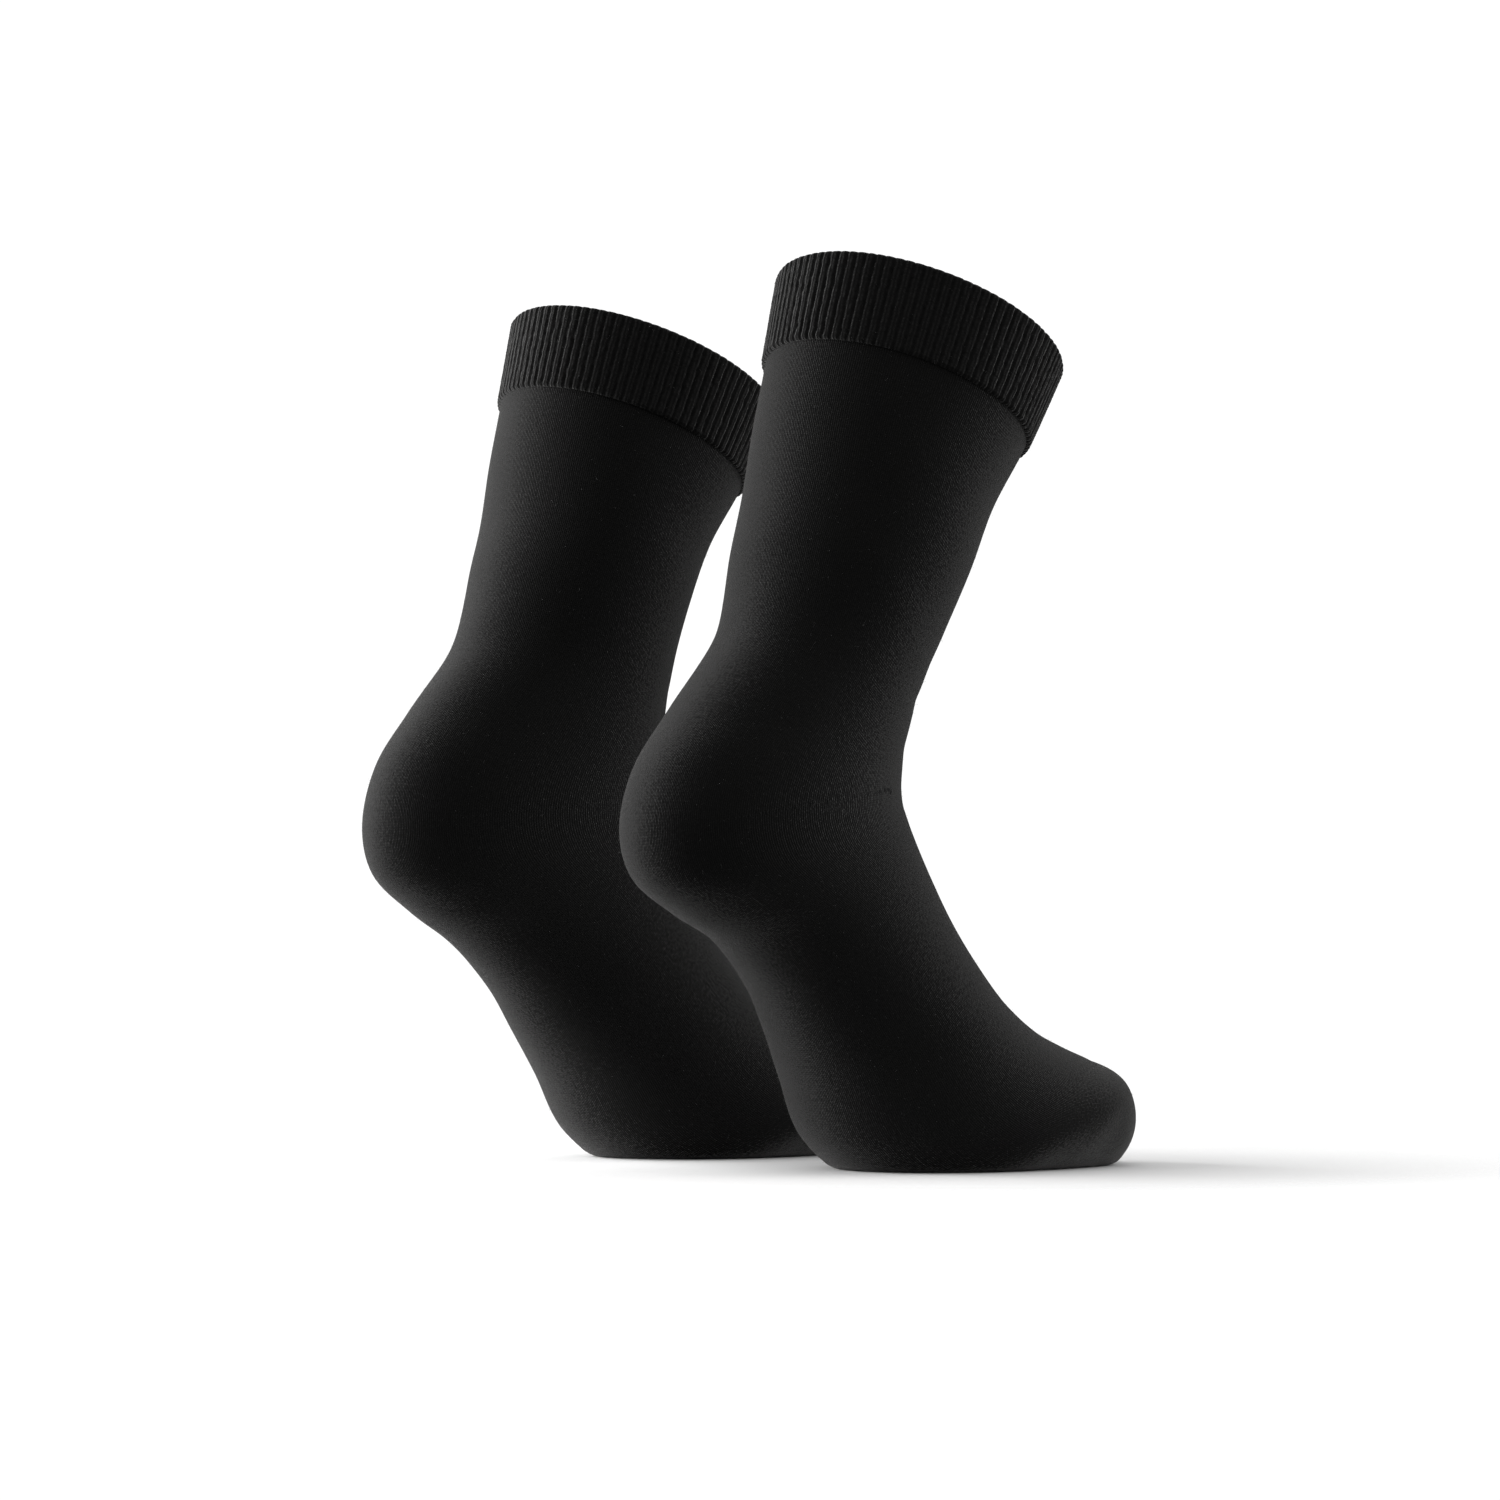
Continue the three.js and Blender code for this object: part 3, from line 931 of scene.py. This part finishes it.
def stitch_tree() -> Tree:
    """Build the tree that lays one bent loop of yarn on each point of a seam.

    Returns:
        A tree that reads the attributes along and outward.
    """
    tree = Tree(
        "lay_stitches",
        {
            "Stitch Length": float,
            "Stitch Rise": float,
            "Yarn Radius": float,
            "Lean": float,
            "Jitter": float,
            "Variation": float,
            "Seed": int,
            "Finish": bpy.types.Material,
        },
    )
    half, radius = tree.input("Stitch Length") * 0.5, tree.input("Yarn Radius")
    first, last = (
        tree.out("ShaderNodeCombineXYZ", values={0: half * way, 2: radius * -0.6}) for way in (-1.0, 1.0)
    )
    crown = tree.out("ShaderNodeCombineXYZ", values={2: tree.input("Stitch Rise") * 2.0})
    yarn = tree.bent_yarn((first, crown, last), 6, radius, 6)
    up = tree.out(
        "FunctionNodeAlignRotationToVector", {"axis": "Z"}, {"Vector": tree.attribute("outward", vector=True)}
    )
    turned = tree.out(
        "FunctionNodeAlignRotationToVector",
        {"axis": "X", "pivot_axis": "Z"},
        {"Rotation": up, "Vector": tree.attribute("along", vector=True)},
    )
    chance = tree.chance(-1.0, 1.0, tree.input("Seed"))
    spin = tree.out("ShaderNodeCombineXYZ", values={2: tree.input("Lean") + chance * tree.input("Jitter")})
    lean = tree.out("FunctionNodeEulerToRotation", values={0: spin})
    rotation = tree.out("FunctionNodeRotateRotation", {"rotation_space": "LOCAL"}, {0: turned, 1: lean})
    size = tree.attribute("size") * (1.0 + chance * tree.input("Variation"))
    laid = tree.out(
        "GeometryNodeInstanceOnPoints",
        values={"Points": tree.input("Geometry"), "Instance": yarn, "Rotation": rotation, "Scale": size},
    )
    tree.end(laid)
    return tree


def nap_tree() -> Tree:
    """Build the tree that scatters short bent fibres over the cloth.

    Returns:
        A tree that replaces a surface by the fibres that stand on it.
    """
    tree = Tree(
        "scatter_nap",
        {
            "Density": float,
            "Fibre Length": float,
            "Fibre Radius": float,
            "Tilt": float,
            "Seed": int,
            "Finish": bpy.types.Material,
        },
    )
    length = tree.input("Fibre Length")
    root = tree.out("ShaderNodeCombineXYZ", values={2: length * -0.08})
    bend = tree.out("ShaderNodeCombineXYZ", values={0: length * 0.1, 2: length * 0.7})
    tip = tree.out("ShaderNodeCombineXYZ", values={0: length * 0.55, 1: length * 0.15, 2: length * 0.85})
    fibre = tree.bent_yarn((root, bend, tip), 3, tree.input("Fibre Radius"), 3)
    spread = tree.add(
        "GeometryNodeDistributePointsOnFaces",
        {"distribute_method": "RANDOM"},
        {"Mesh": tree.input("Geometry"), "Density": tree.input("Density"), "Seed": tree.input("Seed")},
    )
    points, rotation = Socket(tree, spread.outputs["Points"]), Socket(tree, spread.outputs["Rotation"])
    tilts = [tree.chance(-1.0, 1.0, tree.input("Seed") + step) for step in (1.0, 2.0, 3.0)]
    reach = tree.input("Tilt")
    turns = {0: tilts[0] * reach, 1: tilts[1] * reach, 2: tilts[2] * math.pi}
    lean = tree.out("ShaderNodeCombineXYZ", values=turns)
    turned = tree.out(
        "FunctionNodeRotateRotation",
        {"rotation_space": "LOCAL"},
        {0: rotation, 1: tree.out("FunctionNodeEulerToRotation", values={0: lean})},
    )
    size = 0.75 + 0.45 * tilts[2] * tilts[0]
    laid = tree.out(
        "GeometryNodeInstanceOnPoints",
        values={"Points": points, "Instance": fibre, "Rotation": turned, "Scale": size},
    )
    tree.end(laid)
    return tree


@dataclass
class Trees:
    """The three trees, built once and used for both socks."""

    ribs: Tree = field(default_factory=rib_tree)
    stitches: Tree = field(default_factory=stitch_tree)
    nap: Tree = field(default_factory=nap_tree)


@dataclass
class Welt:
    """The ribbed double welt at the top of the leg, in millimetres."""

    form: FootForm
    side: Side
    step: float = 1.0
    rib_relief: float = 0.45
    course_relief: float = 0.1
    points_per_rib: int = 6
    rows_per_course: int = 3
    fold_steps: int = 7
    hem_turn: float = 0.5
    hem_height: float = 0.8
    inner_rows: int = 10
    unevenness: float = 0.6

    def profile(self) -> tuple[np.ndarray, np.ndarray, np.ndarray]:
        """Run once round the welt's wall, from its lower outer edge over the fold to the lower inner edge.

        Returns:
            The distance below the rim, the height over the form and the ribs' share at each step.
        """
        thick = WALL + self.step
        radius = thick / 2
        low = self.form.station("cuff_base") - SEAM_GAP / 2
        courses = round((low - radius - self.hem_height) / COURSE)
        wall = np.linspace(low - self.hem_height, radius, courses * self.rows_per_course + 1)
        steps = [(low, thick - self.hem_turn, 0.5)]
        steps += [(d, thick, 1.0) for d in wall]
        for k in range(1, self.fold_steps + 1):
            turn = math.pi * k / self.fold_steps
            share = min(1.0, 0.75 * (1 + math.cos(turn)))
            steps.append((radius - radius * math.sin(turn), radius + radius * math.cos(turn), share))
        steps += [(d, 0.0, 0.0) for d in np.linspace(radius, low, self.inner_rows)[1:]]
        return tuple(np.array(column) for column in zip(*steps))

    def build(self, trees: Trees) -> bpy.types.Object:
        """Build the plain double wall and raise its ribs.

        Args:
            trees: The Geometry Nodes trees.

        Returns:
            The welt.
        """
        distance, proud, share = self.profile()
        columns = RIBS * self.points_per_rib
        angle = BACK + np.arange(columns) * FULL_TURN / columns
        grid = np.broadcast_arrays(distance[:, None] + SEAM_GAP / 2, angle[None, :])
        height = np.broadcast_to(proud[:, None], grid[0].shape)
        cloth = ClothMesh(self.side)
        rows = cloth.add(self.form.cloth(grid[0], grid[1], height))
        ribs = np.arange(columns + 1) / self.points_per_rib
        wall_run = np.concatenate([[0.0], np.cumsum(np.hypot(np.diff(distance), np.diff(proud)))])
        courses = np.repeat((wall_run / COURSE)[:, None], columns + 1, axis=1)
        cloth.tube(rows[::-1], ribs + 0.5, courses[::-1])
        closing = np.stack([rows[0], rows[-1]])
        cloth.tube(closing, ribs + 0.5, np.repeat([[0.0], [1.0]], columns + 1, axis=1))
        outward = self.side.turn_vectors(self.form.outward(grid[0], grid[1])).reshape(-1, 3)
        attributes = {
            "rib": np.broadcast_to(ribs[None, :-1], grid[0].shape).ravel(),
            "course": courses[:, :-1].ravel(),
            "raise": np.broadcast_to(share[:, None], grid[0].shape).ravel(),
            "outward": outward * MM,
        }
        piece = cloth.finish(f"{self.side.word}_ribbed_welt", RIB_KNIT, attributes)
        values = {
            "Relief": self.rib_relief,
            "Course Relief": self.course_relief,
            "Unevenness": self.unevenness,
            "Seed": 11 + self.side.value,
            "Finish": RIB_KNIT.material(),
        }
        return trees.ribs.apply(piece, values)


@dataclass
class KnittedTube:
    """The leg, heel pocket, foot and toe of one sock as one seamless shell, in millimetres."""

    form: FootForm
    side: Side
    columns: int = 180
    gore_column: int = 55
    leg_rows: int = 52
    pocket_rows: int = 16
    foot_rows: int = 84
    pocket_courses: int = 40
    gore_end: float = math.radians(-60)
    tuck: float = 0.8
    nose_rows: int = 6
    nose_courses: float = 3.0
    nose_length: float = 2.6

    @property
    def angles(self) -> np.ndarray:
        """The angle of each column, starting at the back."""
        return BACK + np.arange(self.columns) * FULL_TURN / self.columns

    def rows_between(self, upper: np.ndarray, lower: np.ndarray, count: int) -> np.ndarray:
        """Distances of evenly spaced rows from one edge to another, edges included."""
        share = np.linspace(0, 1, count + 1)[:, None]
        return upper[None, :] * (1 - share) + lower[None, :] * share

    def counts(self, courses: float, rows: int) -> np.ndarray:
        """The course of each point of a tube with that many courses over its rows."""
        return np.repeat(np.linspace(0, courses, rows + 1)[:, None], self.columns + 1, axis=1)

    def side_length(self, start: float, end: float) -> float:
        """The length of the cloth down its outer side between two distances."""
        distance = np.linspace(start, end, 200)
        points = self.form.surface(distance, np.zeros_like(distance))
        return float(np.linalg.norm(np.diff(points, axis=0), axis=1).sum())

    def wall(self, cloth: ClothMesh, proud: float, inside: bool) -> tuple[np.ndarray, np.ndarray]:
        """Build one face of the shell, from the welt to the toe seam.

        Args:
            cloth: Where the points and faces go.
            proud: The face's height over the form.
            inside: Whether it looks into the sock.

        Returns:
            Its top ring of points and its last full ring before the toe seam.
        """
        form = self.form
        angle = self.angles
        top = np.full(self.columns, form.station("cuff_base") + SEAM_GAP / 2)
        leg_end = form.pocket_edge(angle, "heel_start")
        foot_start = form.pocket_edge(angle, "heel_end")
        toe_end = np.full(self.columns, form.station("toe_seam"))
        wales = np.arange(self.columns + 1) * WALES / self.columns

        leg = self.rows_between(top, leg_end, self.leg_rows)
        leg_points = cloth.add(form.cloth(leg, np.broadcast_to(angle, leg.shape), proud))
        leg_courses = round(self.side_length(top[0], form.station("gore")) / COURSE)
        cloth.tube(leg_points, wales, self.counts(leg_courses, self.leg_rows), inside)

        back = np.arange(-self.gore_column, self.gore_column + 1)
        edge = leg_points[-1]
        foot = self.rows_between(foot_start, toe_end, self.foot_rows)
        foot_points = np.empty(foot.shape, int)
        in_pocket = np.zeros(self.columns, bool)
        in_pocket[back[1:-1]] = True
        foot_points[0, ~in_pocket] = edge[~in_pocket]
        foot_points[0, in_pocket] = cloth.add(form.cloth(foot[0, in_pocket], angle[in_pocket], proud))
        foot_points[1:] = cloth.add(form.cloth(foot[1:], np.broadcast_to(angle, foot[1:].shape), proud))
        foot_courses = round(self.side_length(form.station("gore"), toe_end[0]) / COURSE)
        cloth.tube(foot_points, wales, self.counts(foot_courses, self.foot_rows), inside)

        self.pocket(cloth, proud, inside, back, edge[back], foot_points[0, back])
        return leg_points[0], foot_points[-1]

    def pocket(
        self,
        cloth: ClothMesh,
        proud: float,
        inside: bool,
        back: np.ndarray,
        upper: np.ndarray,
        lower: np.ndarray,
    ) -> None:
        """Fill the heel pocket, whose short courses end along the two gore lines.

        Args:
            cloth: Where the points and faces go.
            proud: The face's height over the form.
            inside: Whether it looks into the sock.
            back: The columns from one gore point round the heel to the other.
            upper: The points of the leg's edge on those columns.
            lower: The points of the foot's edge on those columns.
        """
        form = self.form
        angle = BACK + back * FULL_TURN / self.columns
        from_back = np.abs(back) * FULL_TURN / self.columns
        narrowest = self.gore_end - BACK
        widest = self.gore_column * FULL_TURN / self.columns
        short = np.clip((widest - from_back) / (widest - narrowest), 0, 1) * self.pocket_courses
        wales = back * WALES / self.columns
        gore = np.full(len(back), form.station("gore"))
        middle = cloth.add(form.cloth(gore, angle, proud))
        middle[0], middle[-1] = upper[0], upper[-1]
        limits = {"heel_start": upper, "heel_end": lower}
        for name, edge in limits.items():
            first = form.pocket_edge(angle, name)
            spans = self.rows_between(first, gore, self.pocket_rows)
            grid = np.empty(spans.shape, int)
            grid[0], grid[-1] = edge, middle
            grid[1:-1] = cloth.add(form.cloth(spans[1:-1], np.broadcast_to(angle, spans[1:-1].shape), proud))
            grid[:, 0], grid[:, -1] = edge[0], edge[-1]
            share = np.linspace(0, 1, self.pocket_rows + 1)[:, None]
            if name == "heel_start":
                cloth.patch(grid, wales, share * short[None, :], inside)
            else:
                cloth.patch(grid[::-1], wales, -(share * short[None, :])[::-1], inside)

    def close_toe(self, cloth: ClothMesh, ring: np.ndarray, proud: float, inside: bool) -> None:
        """Round the toe's nose and close it along the seam across its tip.

        Args:
            cloth: Where the points and faces go.
            ring: The last full ring of points.
            proud: The ring's height over the form.
            inside: Whether the faces look into the sock.
        """
        end = np.full(self.columns, self.form.station("toe_seam"))
        ring_points = self.form.cloth(end, self.angles, proud)
        quarter = self.columns // 4
        mirror = (2 * quarter - np.arange(self.columns)) % self.columns
        seam = (ring_points + ring_points[mirror]) / 2
        length = self.nose_length - (CLOTH if inside else 0)
        rows = [ring]
        for k in range(1, self.nose_rows):
            turn = math.pi / 2 * k / self.nose_rows
            points = seam + (ring_points - seam) * math.cos(turn)
            points[:, 1] += length * math.sin(turn) * np.abs(np.sin(self.angles))
            rows.append(cloth.add(points))
        last = seam.copy()
        last[:, 1] += length * np.abs(np.sin(self.angles))
        closing = cloth.add(last)
        first_half = np.minimum(np.arange(self.columns), mirror)
        rows.append(closing[first_half])
        wales = np.arange(self.columns + 1) * WALES / self.columns
        cloth.tube(np.stack(rows), wales, self.counts(self.nose_courses, self.nose_rows), inside)

    def build(self) -> bpy.types.Object:
        """Build both faces of the shell and join them at the top.

        Returns:
            The knitted tube.
        """
        cloth = ClothMesh(self.side)
        outer_top, outer_end = self.wall(cloth, WALL, inside=False)
        self.close_toe(cloth, outer_end, WALL, inside=False)
        inner_top, inner_end = self.wall(cloth, WALL - CLOTH, inside=True)
        self.close_toe(cloth, inner_end, WALL - CLOTH, inside=True)
        wales = np.arange(self.columns + 1) * WALES / self.columns
        tucked = np.full(self.columns, self.form.station("cuff_base") - self.tuck)
        lip = cloth.add(self.form.cloth(tucked, self.angles, WALL - CLOTH / 2))
        edge = np.repeat([[0.0], [0.5], [1.0]], self.columns + 1, axis=1)
        cloth.tube(np.stack([inner_top, lip, outer_top]), wales, edge)
        piece = cloth.finish(f"{self.side.word}_jersey_tube", JERSEY)
        self.drop_loose_points(piece)
        return piece

    @staticmethod
    def drop_loose_points(piece: bpy.types.Object) -> None:
        """Delete the points that no face uses."""
        mesh = piece.data
        used = np.zeros(len(mesh.vertices), bool)
        corners = np.zeros(len(mesh.loops), np.int32)
        mesh.loops.foreach_get("vertex_index", corners)
        used[corners] = True
        if used.all():
            return
        work = bmesh.new()
        work.from_mesh(mesh)
        bmesh.ops.delete(work, geom=[v for v in work.verts if not v.link_faces], context="VERTS")
        work.to_mesh(mesh)
        work.free()


@dataclass
class Seam:
    """A row of yarn stitches laid along a line on the cloth, in millimetres.

    `pitch` is their spacing and `rise` how far they stand up. `last_size` is the last stitch's size,
    as a share of the first, and `tangle` how far the first ones stray from the line.
    """

    side: Side
    name: str
    points: np.ndarray
    outward: np.ndarray
    pitch: float
    length: float
    rise: float
    yarn: float
    lean: float
    jitter: float = 0.25
    variation: float = 0.12
    last_size: float = 1.0
    tangle: float = 0.0
    tangle_reach: float = 4.0
    seed: int = 5

    def build(self, trees: Trees) -> bpy.types.Object:
        """Space points along the line, tangled at its start, and lay a stitch on each.

        Args:
            trees: The Geometry Nodes trees.

        Returns:
            The stitches as one mesh.
        """
        steps = np.linalg.norm(np.diff(self.points, axis=0), axis=1)
        run = np.concatenate([[0.0], np.cumsum(steps)])
        count = max(2, round(run[-1] / self.pitch))
        spots = (np.arange(count) + 0.5) * run[-1] / count
        place = np.stack([np.interp(spots, run, self.points[:, k]) for k in range(3)], axis=1)
        out = np.stack([np.interp(spots, run, self.outward[:, k]) for k in range(3)], axis=1)
        ahead, behind = (
            np.stack([np.interp(spots + step, run, self.points[:, k]) for k in range(3)], axis=1)
            for step in (0.2, -0.2)
        )
        across = np.cross(ahead - behind, out)
        across /= np.linalg.norm(across, axis=1, keepdims=True)
        stray = np.random.default_rng(self.seed).normal(0.0, self.tangle, count)
        stray *= np.exp(-spots / self.tangle_reach)
        place += across * stray[:, None]
        mesh = bpy.data.meshes.new(self.name)
        mesh.from_pydata(self.side.place(place).tolist(), [], [])
        size = mesh.attributes.new("size", "FLOAT", "POINT")
        size.data.foreach_set("value", np.linspace(1.0, self.last_size, count).astype(np.float32))
        for key, vectors in {"outward": out, "along": ahead - behind}.items():
            attribute = mesh.attributes.new(key, "FLOAT_VECTOR", "POINT")
            turned = self.side.turn_vectors(vectors)
            attribute.data.foreach_set("vector", turned.astype(np.float32).ravel())
        piece = bpy.data.objects.new(self.name, mesh)
        bpy.context.scene.collection.objects.link(piece)
        values = {
            "Stitch Length": self.length * MM,
            "Stitch Rise": self.rise * MM,
            "Yarn Radius": self.yarn * MM,
            "Lean": self.lean * -self.side.value,
            "Jitter": self.jitter,
            "Variation": self.variation,
            "Seed": self.seed,
            "Finish": LINKING_YARN.material(),
        }
        return trees.stitches.apply(piece, values)


@dataclass
class Sock:
    """One whole sock: welt, knitted tube, gore and toe stitches, and the nap on its cloth."""

    form: FootForm
    side: Side
    trees: Trees
    relaxed_round: float = 0.196
    relaxed_length: float = 0.40
    welt_height: float = 0.032
    nap_density: float = 52000.0
    nap_length: float = 1.3 * MM
    nap_radius: float = 0.022 * MM
    nap_tilt: float = 1.15
    line_points: int = 80
    gore_climb: float = 4.0

    def gore_seams(self) -> list[bpy.types.Object]:
        """Lay the loops that link the heel pocket's short courses, on both sides of the heel.

        Returns:
            One piece for the outer and one for the inner gore line.
        """
        made = []
        ends = {"outer": (43, -50), "inner": (137, 230)}
        for word, (start, end) in ends.items():
            angle = np.radians(np.linspace(start, end, self.line_points))
            distance = self.form.station("gore") - np.linspace(self.gore_climb, 0.0, self.line_points)
            seam = Seam(
                self.side,
                f"{self.side.word}_{word}_gore_stitches",
                self.form.cloth(distance, angle, WALL),
                self.form.outward(distance, angle),
                pitch=1.2,
                length=1.7,
                rise=0.2,
                yarn=0.11,
                lean=0.9 if word == "outer" else -0.9,
                jitter=0.8,
                variation=0.45,
                last_size=0.25,
                tangle=1.1,
            )
            made.append(seam.build(self.trees))
        return made

    def toe_seam(self, tube: KnittedTube) -> bpy.types.Object:
        """Link the toe along the line across its tip.

        Args:
            tube: The knitted tube, for the seam's place.

        Returns:
            The stitches as one piece.
        """
        angle = np.linspace(0, math.pi, 60)
        distance = np.full(60, self.form.station("toe_seam"))
        over = self.form.cloth(distance, angle, WALL)
        under = self.form.cloth(distance, -angle, WALL)
        line = (over + under) / 2
        line[:, 1] += tube.nose_length * np.sin(angle)
        forward = np.zeros_like(line)
        forward[:, 1] = 1.0
        seam = Seam(
            self.side,
            f"{self.side.word}_toe_linking",
            line,
            forward,
            pitch=1.1,
            length=1.4,
            rise=0.3,
            yarn=0.2,
            lean=0.7,
        )
        return seam.build(self.trees)

    def nap(self, source: bpy.types.Object, name: str, density: float) -> bpy.types.Object:
        """Scatter loose fibres over the cloth of a piece.

        Args:
            source: The piece that they stand on.
            name: The new piece's name.
            density: Fibres for each square metre.

        Returns:
            The fibres as one mesh.
        """
        mesh = source.data.copy()
        piece = bpy.data.objects.new(name, mesh)
        bpy.context.scene.collection.objects.link(piece)
        values = {
            "Density": density,
            "Fibre Length": self.nap_length,
            "Fibre Radius": self.nap_radius,
            "Tilt": self.nap_tilt,
            "Seed": 21 + self.side.value,
            "Finish": NAP_FIBRE_PAINTED_BACKLIGHT.material(),
        }
        return self.trees.nap.apply(piece, values)

    def build(self) -> None:
        """Build every piece, dress it, and fix it to the frame."""
        word = self.side.word
        welt = Welt(self.form, self.side).build(self.trees)
        tube = KnittedTube(self.form, self.side)
        jersey = tube.build()
        small = [*self.gore_seams(), self.toe_seam(tube)]
        nap = self.nap(jersey, f"{word}_jersey_nap", self.nap_density)
        welt_nap = self.nap(welt, f"{word}_welt_nap", self.nap_density / 2)
        for piece in (welt, jersey, nap, welt_nap, *small):
            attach(piece, "root")
            "rib_knit" if piece in (welt, welt_nap) else "jersey"
            log.info("%s: %d faces", piece.name, len(piece.data.polygons))
        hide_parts(f"{word}_cuff")
        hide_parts(f"{word}_leg", f"{word}_heel", f"{word}_foot", f"{word}_toe")
        self.relaxed_round * 1.1


@dataclass
class Studio:
    """The camera, pale floor and soft lights around the pair."""

    camera_place: tuple[float, float, float] = (-1.1812, 1.0319, 0.068)
    azimuth: float = 230.5
    pitch: float = 2.859
    lens: float = 105.0
    sensor: float = 36.0
    floor_radius: float = 0.27
    backdrop: float = 1.07
    surround: float = 0.33

    def build(self) -> None:
        """Build everything."""
        bpy.context.scene.view_settings.view_transform = "Standard"
        self.camera()
        self.floor()
        self.world()
        self.lights()

    def camera(self) -> None:
        """Put the camera behind the pair's right side, near the floor and looking slightly up."""
        data = bpy.data.cameras.new("camera")
        data.lens = self.lens
        data.sensor_width = self.sensor
        data.clip_start = 0.05
        data.clip_end = 200.0
        camera = bpy.data.objects.new("camera", data)
        camera.location = self.camera_place
        turn, rise = math.radians(self.azimuth), math.radians(self.pitch)
        look = Vector((-math.sin(turn) * math.cos(rise), math.cos(turn) * math.cos(rise), math.sin(rise)))
        camera.rotation_euler = look.to_track_quat("-Z", "Y").to_euler()
        bpy.context.scene.collection.objects.link(camera)
        bpy.context.scene.camera = camera

    def floor(self) -> None:
        """Lay one wide pale disc under the pair."""
        mesh = bpy.data.meshes.new("floor")
        steps = 64
        turn = [FULL_TURN * k / steps for k in range(steps)]
        ring = [(self.floor_radius * math.cos(t), self.floor_radius * math.sin(t), 0.0) for t in turn]
        mesh.from_pydata(ring, [], [list(range(steps))])
        mesh.materials.append(FloorFinish().material())
        floor = bpy.data.objects.new("floor", mesh)
        bpy.context.scene.collection.objects.link(floor)

    def world(self) -> None:
        """Show a white backdrop to the camera and light the pair with a dimmer one."""
        world = bpy.data.worlds.new("studio")
        bpy.context.scene.world = world
        world.use_nodes = True
        world.node_tree.nodes.clear()
        graph = Graph(world.node_tree)
        seen = graph.out("ShaderNodeLightPath", output="Is Camera Ray")
        strength = self.surround + seen * (self.backdrop - self.surround)
        light = graph.out("ShaderNodeBackground", values={"Color": grey(1.0), "Strength": strength})
        graph.add("ShaderNodeOutputWorld", values={"Surface": light})

    def lights(self) -> None:
        """Hang one broad light overhead and a tall soft one behind each side of the pair."""
        overhead = bpy.data.lights.new("overhead", "SUN")
        overhead.energy = 1.7
        overhead.angle = math.radians(120)
        above = bpy.data.objects.new("overhead", overhead)
        above.location = (0.0, 0.0, 3.0)
        bpy.context.scene.collection.objects.link(above)
        self.softbox("left_softbox", bearing=-107.0, distance=0.62, size=(0.45, 0.6), power=14.0)
        self.softbox("right_softbox", bearing=108.0, distance=1.4, size=(0.8, 0.9), power=13.0)

    def softbox(
        self,
        name: str,
        bearing: float,
        distance: float,
        size: tuple[float, float],
        power: float,
    ) -> None:
        """Stand one soft light, aimed at the middle of the pair.

        Args:
            name: The light's name.
            bearing: Its direction from the pair, in degrees anticlockwise from the camera's own.
            distance: How far it stands from the pair.
            size: Its width and height.
            power: Its power in watts.
        """
        data = bpy.data.lights.new(name, "AREA")
        data.shape = "RECTANGLE"
        data.size, data.size_y = size
        data.energy = power
        light = bpy.data.objects.new(name, data)
        light.visible_camera = False
        to_camera = math.atan2(self.camera_place[1], self.camera_place[0])
        turn = to_camera + math.radians(bearing)
        aim = Vector((0.0, 0.05, 0.15))
        light.location = aim + Vector((math.cos(turn), math.sin(turn), 0.12)) * distance
        light.rotation_euler = (aim - light.location).to_track_quat("-Z", "Z").to_euler()
        bpy.context.scene.collection.objects.link(light)


def main() -> None:
    """Build the studio and both socks."""
    logging.basicConfig(level=logging.INFO, format="%(name)s: %(message)s")
    Studio().build()
    trees = Trees()
    for side in Side:
        Sock(FootForm(side.sections), side, trees).build()
        log.info("%s sock done", side.word)


if __name__ == "__main__":
    main()
